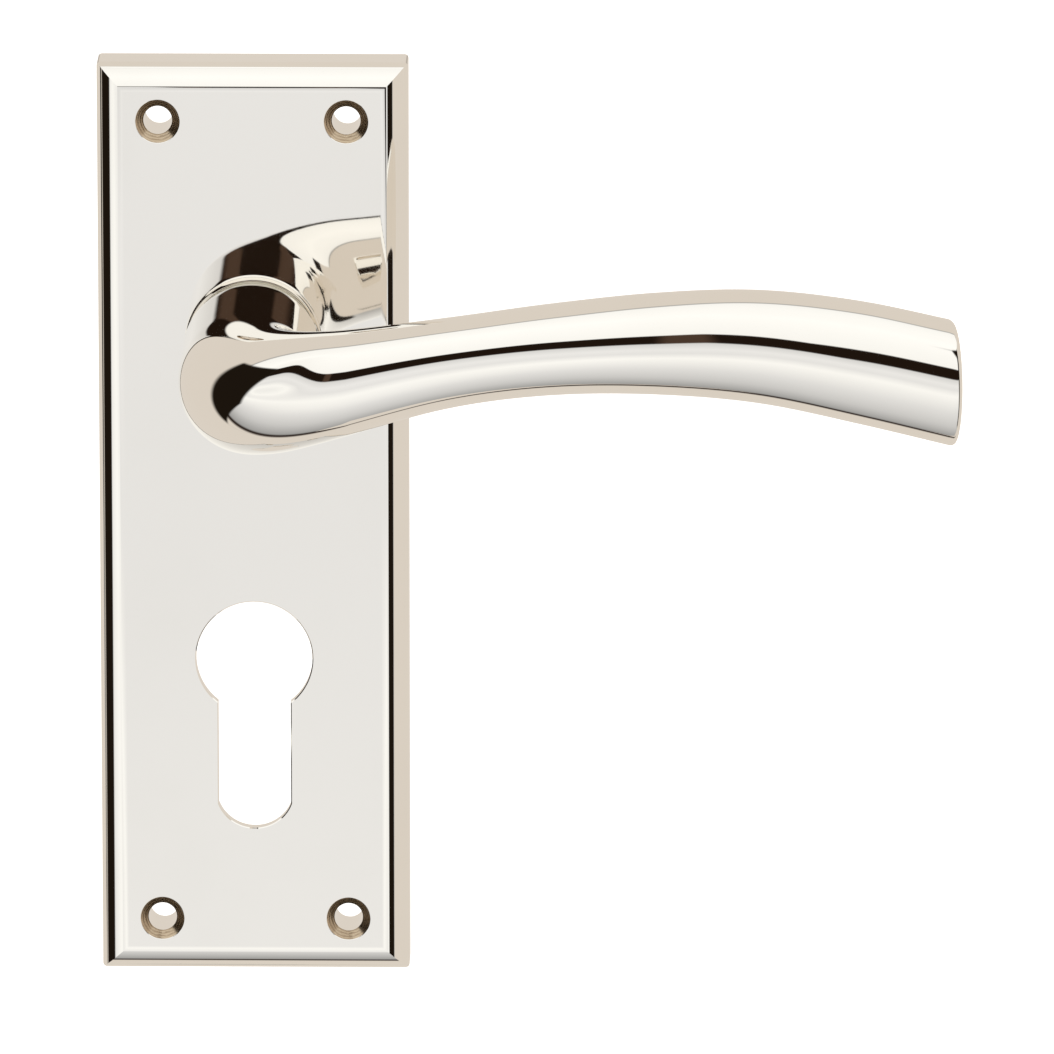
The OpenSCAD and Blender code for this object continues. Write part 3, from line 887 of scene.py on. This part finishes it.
    def build(self) -> None:
        """Cuts and joins the plate, then sorts its faces by finish."""
        plate = self.blank()
        wide, high = self.width - 2 * self.side_wall, self.height - 2 * self.side_wall
        carve(plate, [self.block(wide, high, self.cavity_y, 1.0, self.middle)])
        root = self.cavity_y - self.root
        rib_t, rib_h = self.rib_size
        joins = [self.rod(self.pillar_d, root, 0.0, x, z) for x, z in self.screws]
        joins += [self.rod(self.post_d, root, self.cover_y, x, z) for x, z in self.posts]
        joins += [self.block(wide + 2 * self.root, rib_t, root, self.cavity_y + rib_h, z)
                  for z in self.rib_z]
        carve(plate, [*joins, self.boss()], "UNION")
        cuts = [self.euro_cutter(), self.rod(self.bore_d, self.face_y - 3, 1.0)]
        cuts += [self.sink_cutter(x, z) for x, z in self.screws]
        cuts += [self.rod(self.post_hole_d, self.cavity_y + 0.5, 1.0, x, z)
                 for x, z in self.posts]
        carve(plate, cuts)
        smooth(plate, 24.0)
        sinks = [sink_finish(i + 1, x, z) for i, (x, z) in enumerate(self.screws)]
        dress(plate, [PLATE_NICKEL, CAST_BACK, *sinks], Body.PLATE,
              "backplate")
        for face in plate.data.polygons:
            face.material_index = self.finish_index(face.center / MM, face.normal.y < -0.05)

    def finish_index(self, c: Vector, faces_front: bool) -> int:
        """Which finish a face takes: 0 polish, 1 the cast back, 2 to 5 the countersinks.

        Args:
            c: the face's centre in millimetres.
            faces_front: whether the face looks forwards.

        Returns:
            The finish's place in the plate's list.
        """
        near = [math.hypot(c.x - x, c.z - z) for x, z in self.screws]
        beyond = (abs(c.x) - self.width / 2, abs(c.z - self.middle) - self.height / 2)
        in_bore = min(near) <= self.screw_hole_d / 2 + 0.02
        if not in_bore and min(near) < self.countersink_d / 2 - 0.02 and c.y < -2:
            return 2 + near.index(min(near))
        if c.y > self.cavity_y - 0.05 and max(beyond) <= -0.1 and not in_bore:
            return 0 if faces_front and max(beyond) > -self.moulding_w else 1
        return 0


# ---- lever -------------------------------------------------------------------------------------


@dataclass
class Station:
    """One place along the lever: distance, rise, height and thickness."""

    s: float
    rise: float
    high: float
    thick: float


@dataclass
class Lever:
    """Neck, elbow and bar in one skin, with the shank behind."""

    face_y: float = -9.0
    neck_y: float = -11.65
    neck_d: float = 20.7
    neck_edge_r: float = 0.85
    elbow_start: float = 21.5
    elbow_r: float = 15.0
    reach: float = 104.3
    bow_start: float = 45.0
    bow_angle: float = 13.0
    tip_edge_r: float = 0.8
    shank_d: float = 14.0
    shank_end: Pair = (-0.1, 0.3)
    socket: float = 8.1
    socket_y: float = -30.05
    grub_y: float = -18.0
    grub_d: float = 6.0
    groove: tuple[float, float, float] = (-3.85, -2.75, 6.5)
    flats_y: float = -2.8
    flat_half: float = 5.8
    around: int = 112
    ridge: float = 0.85
    ridge_turn: tuple[float, float, float] = (-8.0, 52.0, 120.0)
    ridge_in: Pair = (8.0, 21.0)
    ridge_out: Pair = (27.0, 72.0)
    ease: float = 3.0

    def __post_init__(self) -> None:
        """Works out the lengths and the stations."""
        self.elbow_l = self.elbow_r * math.pi / 2
        self.bar_l = self.reach - self.elbow_r
        bow_l = self.reach - self.bow_start
        self.bow_k = math.tan(math.radians(self.bow_angle)) / (2 * bow_l)
        shares = (0.005, 0.173, 0.341, 0.509, 0.677, 0.845, 1.013)
        sizes = ((3.3, 15.4, 15.2), (6.4, 13.2, 13.4), (8.5, 13.5, 12.8), (9.3, 15.1, 12.6),
                 (8.6, 16.9, 12.4), (5.7, 18.5, 12.2), (1.6, 19.0, 12.0))
        self.stations = [Station(0, 0, self.neck_d, self.neck_d),
                         Station(self.elbow_l * 0.51, 0.9, 18.6, 18.4)]
        self.stations += [Station(self.elbow_l + share * self.bar_l, *row)
                          for share, row in zip(shares, sizes)]

    def along(self, s: float, column: str) -> float:
        """A size along the lever, as a smooth curve through the stations.

        Args:
            s: the distance from the start of the elbow.
            column: rise, high or thick.

        Returns:
            The size there.
        """
        rows = self.stations
        i = max(k for k in range(len(rows) - 1) if k == 0 or s > rows[k].s)

        def slope(k: int) -> float:
            """The curve's slope at a station."""
            if k == 0:
                return 0.0
            p, q = rows[k - 1], rows[min(k + 1, len(rows) - 1)]
            return (getattr(q, column) - getattr(p, column)) / (q.s - p.s)

        p, q = rows[i], rows[i + 1]
        w = q.s - p.s
        t = (s - p.s) / w
        return ((1 + 2 * t) * (1 - t) ** 2 * getattr(p, column) + t * (1 - t) ** 2 * w * slope(i)
                + t * t * (3 - 2 * t) * getattr(q, column) + t * t * (t - 1) * w * slope(i + 1))

    def eased(self, s: float, column: str) -> float:
        """The same size with the curve's small kinks evened out over a few millimetres.

        Args:
            s: the distance from the start of the elbow.
            column: rise, high or thick.

        Returns:
            The evened size.
        """
        offsets = [self.ease * k / 4 for k in range(-4, 5)]
        weights = [math.exp(-(offset / self.ease * 1.6) ** 2) for offset in offsets]
        total = sum(w * self.along(max(0.0, s + o), column) for w, o in zip(weights, offsets))
        return total / sum(weights)

    def heading(self, s: float) -> float:
        """The centre line's heading: 0 away from the door, a right angle along the bar.

        Args:
            s: the distance from the start of the elbow.

        Returns:
            The heading in radians.
        """
        if s < self.elbow_l:
            return max(s, 0.0) / self.elbow_r
        past = max(0.0, self.elbow_r + s - self.elbow_l - self.bow_start)
        return math.pi / 2 + math.atan(2 * self.bow_k * past)

    def centre(self, s: float) -> Vector:
        """The centre line's point at a distance.

        Args:
            s: the distance from the start of the elbow.

        Returns:
            The point in millimetres.
        """
        front = self.face_y - self.elbow_start
        if s < 0:
            return Vector((0.0, front - s, 0.0))
        h, rise = self.heading(s), self.eased(s, "rise")
        if s < self.elbow_l:
            return Vector((self.elbow_r * (1 - math.cos(h)), front - self.elbow_r * math.sin(h),
                           rise))
        x = self.elbow_r + s - self.elbow_l
        past = max(0.0, x - self.bow_start)
        return Vector((x, front - self.elbow_r + self.bow_k * past * past, rise))

    def crest(self, s: float) -> float:
        """How far the soft ridge along the bar's upper front stands out.

        Args:
            s: the distance from the start of the elbow.

        Returns:
            The ridge's height, which fades in over the elbow and out along the bar.
        """
        (a, b), (c, d) = self.ridge_in, self.ridge_out
        rise, drop = (s - a) / (b - a), (d - s) / (d - c)
        rise, drop = (min(max(share, 0.0), 1.0) for share in (rise, drop))
        return self.ridge * rise * rise * (3 - 2 * rise) * drop * drop * (3 - 2 * drop)

    def rows(self) -> Outline:
        """The lever's sections, from the neck's rear to the tip.

        Returns:
            Pairs of distance and inset.
        """
        neck_s = self.face_y - self.elbow_start - self.neck_y
        tip_s = self.elbow_l + self.bar_l
        back, front = self.neck_edge_r, self.tip_edge_r
        turns = [math.pi / 2 * i / 8 for i in range(9)]
        rows = [(neck_s, back + drop) for drop in (9.499, 4.0, 1.6, 0.03)]
        rows += [(neck_s + back * (1 - math.sin(a)), back * (1 - math.cos(a)))
                 for a in reversed(turns)]
        rows += [(neck_s + back - (neck_s + back) * i / 10, 0.0) for i in range(1, 10)]
        rows += [(self.elbow_l * i / 44, 0.0) for i in range(44)]
        rows += [(self.elbow_l + (self.bar_l - front) * i / 120, 0.0) for i in range(120)]
        rows += [(tip_s - front * (1 - math.sin(a)), front * (1 - math.cos(a))) for a in turns]
        rows += [(tip_s, front + drop) for drop in (0.03, 1.2, 3.0, 5.3)]
        return rows

    def guide(self) -> Piece:
        """A chain of points with each section's sizes, which the sweep reads.

        Returns:
            An object whose points carry half_high, half_thick, crest and outward.
        """
        rows = self.rows()
        data = bpy.data.meshes.new("lever_guide")
        data.from_pydata([tuple(MM * self.centre(s)) for s, _ in rows], [], [])
        labels = ("half_high", "half_thick", "crest")
        for label in labels:
            data.attributes.new(label, "FLOAT", "POINT")
        data.attributes.new("outward", "FLOAT_VECTOR", "POINT")
        for i, (s, inset) in enumerate(rows):
            sizes = [max(self.eased(max(s, 0.0), column) / 2 - inset, 1e-6)
                     for column in ("high", "thick")]
            for label, size in zip(labels, (*sizes, self.crest(s))):
                data.attributes[label].data[i].value = MM * size
            h = self.heading(s)
            data.attributes["outward"].data[i].vector = (-math.cos(h), -math.sin(h), 0.0)
        return link("lever_and_neck", data)

    def sweep_tree(self) -> bpy.types.NodeTree:
        """Geometry nodes that lay an oval on each point of the guide and skin them.

        Returns:
            The geometry node tree, with the inputs Points Around and Finish.
        """
        tree, inside = open_shape("oval_sweep", [("Points Around", Kind.COUNT)])
        guide, around = inside.outputs["Geometry"], inside.outputs["Points Around"]
        count = tree.add("GeometryNodeAttributeDomainSize", {0: guide}).outputs["Point Count"]
        wide = tree.math("ADD", around, 1.0)
        grid = tree.add("GeometryNodeMeshGrid", {"Vertices X": count, "Vertices Y": wide})
        index = tree.add("GeometryNodeInputIndex").outputs[0]
        ring = tree.math("FLOOR", tree.math("DIVIDE", index, wide))
        part = tree.math("DIVIDE", tree.math("MODULO", index, wide), around)
        turn = tree.product(part, math.tau)

        def stored(kind: str, name: str = "") -> Socket:
            """An attribute of this ring's point of the guide, or its place without a name."""
            source = (tree.add("GeometryNodeInputNamedAttribute", {"Name": name}, data_type=kind)
                      if name else tree.add("GeometryNodeInputPosition"))
            node = tree.add("GeometryNodeSampleIndex", data_type=kind, domain="POINT")
            tree.send(node, Geometry=guide, Value=source.outputs[0], Index=ring)
            return node.outputs[0]

        half_turn = tree.math("MODULO", tree.math("ADD", turn, math.pi), math.tau)
        lean = tree.math("SUBTRACT", half_turn, math.pi)
        low, high, end = (math.radians(angle) for angle in self.ridge_turn)
        swell = tree.product(stored("FLOAT", "crest"), tree.rise(lean, low, high),
                             tree.fall(lean, high, end))
        forward = tree.math("ADD", stored("FLOAT", "half_thick"), swell)
        upward = tree.math("ADD", stored("FLOAT", "half_high"), swell)
        across = tree.add("ShaderNodeVectorMath", {0: stored("FLOAT_VECTOR", "outward")},
                          operation="SCALE")
        tree.send(across, Scale=tree.product(forward, tree.math("COSINE", turn)))
        up = tree.add("ShaderNodeCombineXYZ",
                      {"Z": tree.product(upward, tree.math("SINE", turn))})
        offset = tree.vector("ADD", across.outputs[0], up.outputs[0])
        place = tree.vector("ADD", stored("FLOAT_VECTOR"), offset)
        moved = tree.add("GeometryNodeSetPosition",
                         {"Geometry": grid.outputs[0], "Position": place})
        merged = tree.add("GeometryNodeMergeByDistance",
                          {"Geometry": moved.outputs[0], "Distance": 4e-6})
        return close_shape(tree, inside, merged.outputs[0])

    def build(self) -> None:
        """Sweeps the skin, adds the shank and cuts the socket, the groove and the grub hole."""
        lever = self.guide()
        grow(lever, self.sweep_tree(),
             {"Points Around": self.around, "Finish": LEVER_NICKEL.material()})
        mesh = bmesh.new()
        mesh.from_mesh(lever.data)
        bmesh.ops.remove_doubles(mesh, verts=mesh.verts, dist=4e-6)
        bmesh.ops.recalc_face_normals(mesh, faces=mesh.faces)
        mesh.to_mesh(lever.data)
        mesh.free()
        half = self.socket / 2
        square = [(half, -half), (half, half), (-half, half), (-half, -half)]
        carve(lever, [self.shank()], "UNION")
        carve(lever, [prism("socket", square, self.socket_y, 1.0), self.grub_hole()])
        smooth(lever, 28.0)
        dress(lever, [LEVER_NICKEL, SHANK_STEEL], Body.LEVER, "lever_handle")
        for face in lever.data.polygons:
            c = face.center / MM
            in_socket = (math.hypot(c.x, c.z) < self.socket * 0.75
                         and c.y > self.socket_y - 0.1)
            face.material_index = int(c.y > self.neck_y + 0.05 or in_socket)

    def shank(self) -> Piece:
        """The turned shank with its groove and its two flats.

        Returns:
            The shank's object.
        """
        r, (end, edge), (g0, g1, gr) = self.shank_d / 2, self.shank_end, self.groove
        profile = [(0, self.neck_y - 1), (r, self.neck_y - 1), (r, g0), (gr, g0), (gr, g1), (r, g1),
                   (r, end - edge), (r - edge, end), (0, end)]
        shank = lathe("shank", profile)
        for side in (-1, 1):
            low, high = sorted((side * self.flat_half, side * (r + 1)))
            outline = [(-8.0, low), (8.0, low), (8.0, high), (-8.0, high)]
            carve(shank, [prism("flat", outline, self.flats_y, 1.0)])
        return shank

    def grub_hole(self) -> Piece:
        """The tool for the tapped hole under the neck.

        Returns:
            The cutter.
        """
        r, mouth = self.grub_d / 2, self.grub_d / 2 + 0.25
        return lofted("grub_hole", [
            [(radius * x, self.grub_y + radius * y, z) for x, y in circle(1.0, steps=48)]
            for radius, z in ((r, -2.0), (r, -9.4), (mouth, -10.2), (mouth, -12.0))])


# ---- pieces behind and inside ------------------------------------------------------------------


@dataclass
class Mechanism:
    """The bush, the cassette, the spring, the spindle and their small pieces."""

    bush_flange_y: float = -10.4
    bush_r: Pair = (7.05, 8.0)
    bush_edge: float = 0.18
    cover_corner_r: float = 3.0
    cover_edge: float = 0.2
    cover_y: float = -1.3
    cover_hole_r: float = 10.2
    screw_d: float = 3.0
    screw_head_d: float = 5.4
    thread: tuple[float, float] = (0.5, 0.22)
    recess: Pair = (1.45, 0.3)
    wire_d: float = 1.4
    coil_r: float = 11.2
    coil_y: Pair = (-5.75, -3.5)
    coil_turns: float = 1.5
    coil_steps: int = 150
    first_leg: float = 90.0
    leg_out: Pair = (15.6, 13.9)
    bend: float = 0.9
    spindle_corner_r: float = 0.22
    spindle_bevels: Pair = (0.3, 0.6)
    grub_pitch: float = 0.75
    hexagon: float = 3.0

    def bush(self) -> None:
        """The flanged nylon bush, with its edges broken."""
        low, high = cad_corners("bearing_bush")
        flange, (bore, body), e = (high.x - low.x) / 2, self.bush_r, self.bush_edge
        front, step, end = low.y, self.bush_flange_y, high.y
        profile = [(bore + e, front), (flange - e, front), (flange, front + e), (flange, step),
                   (body, step), (body, end - e), (body - e, end), (bore + e, end),
                   (bore, end - e), (bore, front + e)]
        dress(lathe("flanged_bush", profile), [NYLON], Body.PLATE, "bearing_bush")

    def cover(self) -> None:
        """The pressed rear cover with its rolled edge and four countersinks."""
        low, high = cad_corners("rear_cover")
        outline = rounded_box(high.x - low.x, high.z - low.z, self.cover_corner_r, 8)
        cover = prism("pressed_cover", outline, low.y, high.y, self.cover_edge, 3)
        r = self.cover_hole_r
        cuts = [lathe("cut", [(0, -4), (r, -4), (r, low.y + 1.0), (r + 0.2, high.y), (r + 0.2, 1),
                              (0, 1)])]
        wide, narrow = self.screw_head_d / 2 + 0.05, self.screw_d / 2 + 0.05
        profile = [(0, -4), (narrow, -4), (narrow, low.y), (wide, high.y), (wide, 1), (0, 1)]
        for i in range(4):
            centre = self.screw_centre(i)
            cuts.append(lathe("cut", profile, 48, centre.x, centre.z))
        carve(cover, cuts)
        smooth(cover, 30)
        dress(cover, [ZINC_PLATE], Body.PLATE, "rear_cover")

    def screw_centre(self, index: int) -> Vector:
        """The middle of one cover screw, from the frame, in millimetres."""
        low, high = cad_corners(f"cover_screw_{index + 1}")
        return (low + high) / 2

    def screw_tree(self) -> bpy.types.NodeTree:
        """Geometry nodes that set one screw at a place.

        Returns:
            The geometry node tree, with the inputs Place and Finish.
        """
        tree, inside = open_shape("set_screw", [("Place", Kind.VECTOR)])
        point = tree.add("GeometryNodePoints", {"Count": 1, "Position": inside.outputs["Place"]})
        copies = tree.add("GeometryNodeInstanceOnPoints",
                          {"Points": point.outputs[0], "Instance": inside.outputs["Geometry"]})
        return close_shape(tree, inside, copies.outputs[0])

    def screw_shape(self) -> Piece:
        """One threaded, countersunk screw on the Y axis with its cross recess.

        Returns:
            The screw's object.
        """
        low, high = cad_corners("cover_screw_1")
        r, head, end = self.screw_d / 2 - 0.05, self.screw_head_d / 2, high.y
        pitch, depth = self.thread
        profile = [(0, low.y), (r - 0.35, low.y), (r, low.y + 0.4)]
        y = low.y + 0.5
        while y < self.cover_y - 0.6:
            profile += [(r, y), (r - depth, y + pitch * 0.45), (r, y + pitch * 0.9)]
            y += pitch
        profile += [(r, self.cover_y - 0.05), (head - 0.12, end - 0.12), (head - 0.12, end - 0.04),
                    (head - 0.2, end), (0, end)]
        shape = lathe("screw_shape", profile, 40)
        arm, half = self.recess
        quarter = [(arm, -half), (arm, half), (half, half)]
        cross = [point for _ in range(4) for point in quarter]
        turn = math.radians(45)
        for k in range(len(cross)):
            a = turn + math.pi / 2 * (k // 3)
            x, z = cross[k]
            cross[k] = (x * math.cos(a) - z * math.sin(a), x * math.sin(a) + z * math.cos(a))
        rings = [[(size * x, y, size * z) for x, z in cross]
                 for size, y in ((0.45, end - 0.95), (0.8, end - 0.5), (1.0, end + 0.3))]
        carve(shape, [lofted("recess", rings)])
        return shape

    def screws(self) -> None:
        """The cover's four cross-recessed screws, one shape set four times."""
        shape, group = self.screw_shape(), self.screw_tree()
        for i in range(4):
            screw = link(f"cover_screw_{i + 1}_set", shape.data.copy())
            centre = self.screw_centre(i)
            grow(screw, group, {"Place": (centre.x * MM, 0.0, centre.z * MM),
                                "Finish": SCREW_ZINC.material()})
            smooth(screw, 30)
            dress(screw, [SCREW_ZINC], Body.PLATE, f"cover_screw_{i + 1}")
        bpy.data.objects.remove(shape, do_unlink=True)

    def wire_tree(self) -> bpy.types.NodeTree:
        """Geometry nodes that run a round wire along a chain of edges.

        Returns:
            The geometry node tree, with the inputs Wire Radius, Sides and Finish.
        """
        tree, inside = open_shape("round_wire", [("Wire Radius", Kind.NUMBER),
                                                 ("Sides", Kind.COUNT)])
        path = tree.add("GeometryNodeMeshToCurve", {"Mesh": inside.outputs["Geometry"]})
        ring = tree.add("GeometryNodeCurvePrimitiveCircle",
                        {"Resolution": inside.outputs["Sides"],
                         "Radius": inside.outputs["Wire Radius"]})
        tube = tree.add("GeometryNodeCurveToMesh",
                        {"Curve": path.outputs[0], "Profile Curve": ring.outputs[0],
                         "Fill Caps": True})
        return close_shape(tree, inside, tube.outputs[0])

    def spring_path(self) -> list[Point]:
        """The middle of the spring's wire, from the leg on the plate to the leg on the cam.

        Returns:
            The points in metres; angles turn the way the lever does.
        """
        (outer, inner), (y0, y1), bend = self.leg_out, self.coil_y, self.coil_r + self.bend
        last = self.first_leg + 360.0 * self.coil_turns
        steps, stride = self.coil_steps, 0.25
        path = [(outer - stride * i, self.first_leg, y0)
                for i in range(1 + int((outer - bend) / stride))]
        path += [(self.coil_r, self.first_leg + (last - self.first_leg) * i / steps,
                  y0 + (y1 - y0) * i / steps) for i in range(steps + 1)]
        path += [(bend + (inner - bend) * i / 6, last, y1) for i in range(7)]
        return [(MM * r * math.cos(math.radians(a)), MM * y, -MM * r * math.sin(math.radians(a)))
                for r, a, y in path]

    def spring(self) -> None:
        """The torsion spring: its coil winds between the plate and the lever."""
        path = self.spring_path()
        data = bpy.data.meshes.new("return_spring")
        data.from_pydata(path, [(i, i + 1) for i in range(len(path) - 1)], [])
        wire = link("return_spring_wire", data)
        grow(wire, self.wire_tree(), {"Wire Radius": self.wire_d / 2 * MM, "Sides": 20,
                                      "Finish": SPRING_STEEL.material()})
        smooth(wire, 35)
        dress(wire, [SPRING_STEEL], None, "return_spring")
        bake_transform(wire)

    def spindle(self) -> None:
        """The drawn square spindle with softened corners and a bevelled end."""
        low, high = cad_corners("spindle")
        wide, tall = high.x - low.x, high.z - low.z
        front, rear = self.spindle_bevels
        ends = ((low.y, front), (low.y + front, 0.0), (high.y - rear, 0.0), (high.y, rear))
        bar = lofted("square_spindle", [
            [(x, y, z) for x, z in rounded_box(wide - 2 * cut, tall - 2 * cut,
                                               self.spindle_corner_r, 4)]
            for y, cut in ends])
        dress(bar, [SPINDLE_STEEL], Body.LEVER, "spindle")

    def grub(self) -> None:
        """The grub screw with its thread and its hexagon socket."""
        low, high = cad_corners("grub_screw")
        r, y = (high.x - low.x) / 2, (low.y + high.y) / 2
        heights = [(low.z, r - 0.5), (low.z + 0.35, r - 0.12)]
        z = low.z + 0.5
        while z < high.z - 0.8:
            heights += [(z, r), (z + 0.3, r - 0.32), (z + 0.55, r)]
            z += self.grub_pitch
        heights += [(high.z - 0.4, r), (high.z, r - 0.4)]

        def upright(name: str, levels: list[Pair], sides: int) -> Piece:
            """A solid turned about the screw's upright axis, from heights with radii."""
            return lofted(name, [[(size * x, y + size * side, h)
                                  for x, side in circle(1.0, steps=sides)] for h, size in levels])

        screw = upright("hexagon_grub", heights, 48)
        corner = self.hexagon / 2 / math.cos(math.radians(30))
        carve(screw, [upright("hexagon", [(low.z - 1.0, corner), (low.z + 3.0, corner)], 6)])
        smooth(screw, 30)
        dress(screw, [BLACK_STEEL], Body.LEVER, "grub_screw")

    def carried(self) -> None:
        """Gives the CAD pieces inside the cassette their finishes."""
        for node, finish in (("spring_housing", DARK_NYLON), ("thrust_washer", WASHER_STEEL),
                             ("wave_washer", SPRING_STEEL), ("circlip", BLACK_STEEL),
                             ("drive_cam", CAM_STEEL)):
            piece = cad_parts[node]
            piece.data.materials.clear()
            piece.data.materials.append(finish.material())
            log.info("%s keeps its CAD shape", node)

    def build(self) -> None:
        """Makes every piece of the mechanism."""
        for make in (self.bush, self.cover, self.screws, self.spring, self.spindle, self.grub,
                     self.carried):
            make()


# ---- studio ------------------------------------------------------------------------------------


def grey(shown: float) -> Colour:
    """The linear colour of a grey that shows as a level from 0 to 255."""
    return ((shown / 255) ** 2.2,) * 3


@dataclass
class Studio:
    """Camera, floor and the soft surroundings that the polished metal shows."""

    azimuth: float = 0.8
    elevation: float = 14.0
    distance: float = 2100.0
    target: Point = (41.0, -9.0, -27.5)
    lens: float = 478.4
    sensor: float = 36.0
    floor_z: float = -5000.0
    floor_half: float = 40000.0
    warm: Colour = (0.73, 0.67, 0.6)
    black: Colour = (0.012, 0.008, 0.005)
    dark: Colour = (0.014, 0.008, 0.005)
    brown: Colour = (0.07, 0.042, 0.028)
    lamp_place: Point = (0.3, -0.9, 1.5)
    lamp_size: Pair = (1.4, 1.0)
    lamp_watts: float = 9.0

    def camera(self) -> None:
        """Sets the camera at its viewing angle."""
        data = bpy.data.cameras.new("camera")
        data.lens, data.sensor_width, data.clip_end = self.lens, self.sensor, 50.0
        a, e = math.radians(self.azimuth), math.radians(self.elevation)
        out = Vector((math.cos(e) * math.sin(a), -math.cos(e) * math.cos(a), math.sin(e)))
        camera = bpy.data.objects.new("camera", data)
        camera.location = (Vector(self.target) + self.distance * out) * MM
        camera.rotation_euler = (-out).to_track_quat("-Z", "Y").to_euler()
        bpy.context.scene.collection.objects.link(camera)
        bpy.context.scene.camera = camera

    def floor(self) -> None:
        """A plain pale floor well under the handle."""
        mesh = bmesh.new()
        corners = circle(self.floor_half * math.sqrt(2) * MM, steps=4, start=45)
        mesh.faces.new([mesh.verts.new((x, y, self.floor_z * MM)) for x, y in corners])
        floor = new_object("floor", mesh)
        material = bpy.data.materials.new("pale_floor")
        material.use_nodes = True
        shader = material.node_tree.nodes["Principled BSDF"]
        for label, value in (("Base Color", (0.9, 0.9, 0.9, 1)), ("Roughness", 0.9),
                             ("Emission Color", (1, 1, 1, 1)), ("Emission Strength", 0.6)):
            shader.inputs[label].default_value = value
        floor.data.materials.append(material)
        floor.visible_glossy = False
        floor.visible_diffuse = False

    def tones(self) -> list[tuple[float, Colour]]:
        """The colours met from behind, under the front, up over the top and back again.

        Returns:
            Pairs of tilt in degrees, 0 straight ahead and 90 straight up, and colour.
        """
        warm = self.warm
        return [(-180, warm), (-97, warm), (-93.5, (0.02, 0.01, 0.008)),
                (-90.5, (0.03, 0.02, 0.015)), (-88, grey(160)), (-66, grey(205)),
                (-45, grey(228)), (-23, (1.02, 1.02, 1.0)), (-14, grey(234)), (-7, grey(240)),
                (2, grey(222)), (9, grey(212)), (12, (0.98, 0.98, 0.96)),
                (60, (1.08, 1.08, 1.06)), (88.5, (1.0, 1.0, 0.98)), (91, grey(150)),
                (93.5, warm), (180, warm)]

    def surroundings(self) -> None:
        """The soft boxes, cards and flags round the handle, as a sky that goes by direction."""
        world = bpy.data.worlds.new("studio")
        bpy.context.scene.world = world
        world.use_nodes = True
        world.node_tree.nodes.clear()
        tree = Tree(world.node_tree)
        light = tree.add("ShaderNodeBackground", {"Color": self.sky(tree), "Strength": 1.0})
        plain = tree.add("ShaderNodeBackground", {"Color": (1, 1, 1, 1), "Strength": 1.0})
        seen = tree.add("ShaderNodeLightPath").outputs["Is Camera Ray"]
        both = tree.add("ShaderNodeMixShader", {0: seen, 1: light.outputs[0], 2: plain.outputs[0]})
        tree.add("ShaderNodeOutputWorld", {"Surface": both.outputs[0]})

    def sky(self, tree: Tree) -> Socket:
        """The colour that comes from each direction; all the angles are in degrees.

        Args:
            tree: the world's node tree.

        Returns:
            The colour's output socket.
        """
        parts = tree.add("ShaderNodeSeparateXYZ",
                         {0: tree.add("ShaderNodeTexCoord").outputs["Generated"]})
        x, y, z = parts.outputs
        front, degrees = tree.product(y, -1.0), 180 / math.pi
        tilt = tree.product(tree.math("ARCTAN2", z, front), degrees)
        turned = tree.product(tree.math("ARCTAN2", x, front), degrees)
        side = tree.product(tree.math("ARCTAN2", tree.math("ABSOLUTE", x), front), degrees)
        height = tree.product(tree.math("ARCSINE", z), degrees)

        # The dark gap in front climbs towards the left and drops a little towards the right.
        near = tree.product(tree.fall(side, 60, 75), tree.fall(tilt, 60, 75),
                            tree.rise(tilt, -20, 4))
        climb = tree.product(tree.fall(turned, -52, -8), 34.0)
        drop = tree.product(tree.line(turned, 11, 22), 7.0)
        level = tree.math("SUBTRACT", tilt,
                          tree.product(near, tree.math("SUBTRACT", climb, drop)))
        cards = tree.ramp(tree.math("MULTIPLY_ADD", level, 1 / 360, 0.5),
                          [(angle / 360 + 0.5, colour) for angle, colour in self.tones()])
        gap = tree.product(tree.rise(level, 3.0, 5.5), tree.fall(level, 19, 21),
                           tree.fall(side, 60, 70))
        stands = tree.product(tree.rise(side, 6.5, 8.0), tree.fall(side, 10.5, 12.5))
        ahead = tree.mix(gap, cards, tree.mix(stands, self.dark, self.brown))

        # A tall flag on the left with a leaning edge, and a strip and a warm card on the right.
        upper, lower = tree.fall(height, 33, 36), tree.rise(height, -62, -55)
        behind, strip_end = tree.fall(side, 99, 104), tree.fall(turned, 61, 64)
        top_lean, foot_lean = (tree.product(tree.math("SUBTRACT", 1.0, tree.line(height, *span)), most)
                               for span, most in (((-16, 24), 13.0), ((-42, -16), 30.0)))
        lean = tree.math("ADD", top_lean, foot_lean)
        flag = tree.product(tree.rise(tree.math("SUBTRACT", side, lean), 58, 62), behind, lower,
                            upper, tree.fall(turned, 0, 10))
        strip = tree.product(tree.rise(turned, 44, 47), strip_end, lower, upper)
        card = tree.product(tree.rise(turned, 61, 64), behind, upper)
        return tree.mix(tree.math("MAXIMUM", flag, strip), tree.mix(card, ahead, self.warm),
                        self.black)

    def lamp(self) -> None:
        """A broad soft lamp above and in front, for the pieces that aren't polished."""
        data = bpy.data.lights.new("soft_lamp", "AREA")
        data.shape, data.energy = "RECTANGLE", self.lamp_watts
        data.size, data.size_y = self.lamp_size
        lamp = bpy.data.objects.new("soft_lamp", data)
        lamp.location = self.lamp_place
        aim = Vector(self.lamp_place) - Vector((0.04, 0.0, 0.0))
        lamp.rotation_euler = (-aim).to_track_quat("-Z", "Y").to_euler()
        lamp.visible_glossy = False
        lamp.visible_camera = False
        bpy.context.scene.collection.objects.link(lamp)

    def build(self) -> None:
        """Sets up the whole studio."""
        for make in (self.camera, self.floor, self.surroundings, self.lamp):
            make()
        bpy.context.scene.view_settings.view_transform = "Standard"


def main() -> None:
    """Builds the studio and the handle."""
    logging.basicConfig(level=logging.INFO, format="%(name)s: %(message)s")
    for part in (Studio(), Backplate(), Lever(), Mechanism()):
        part.build()


if __name__ == "__main__":
    main()
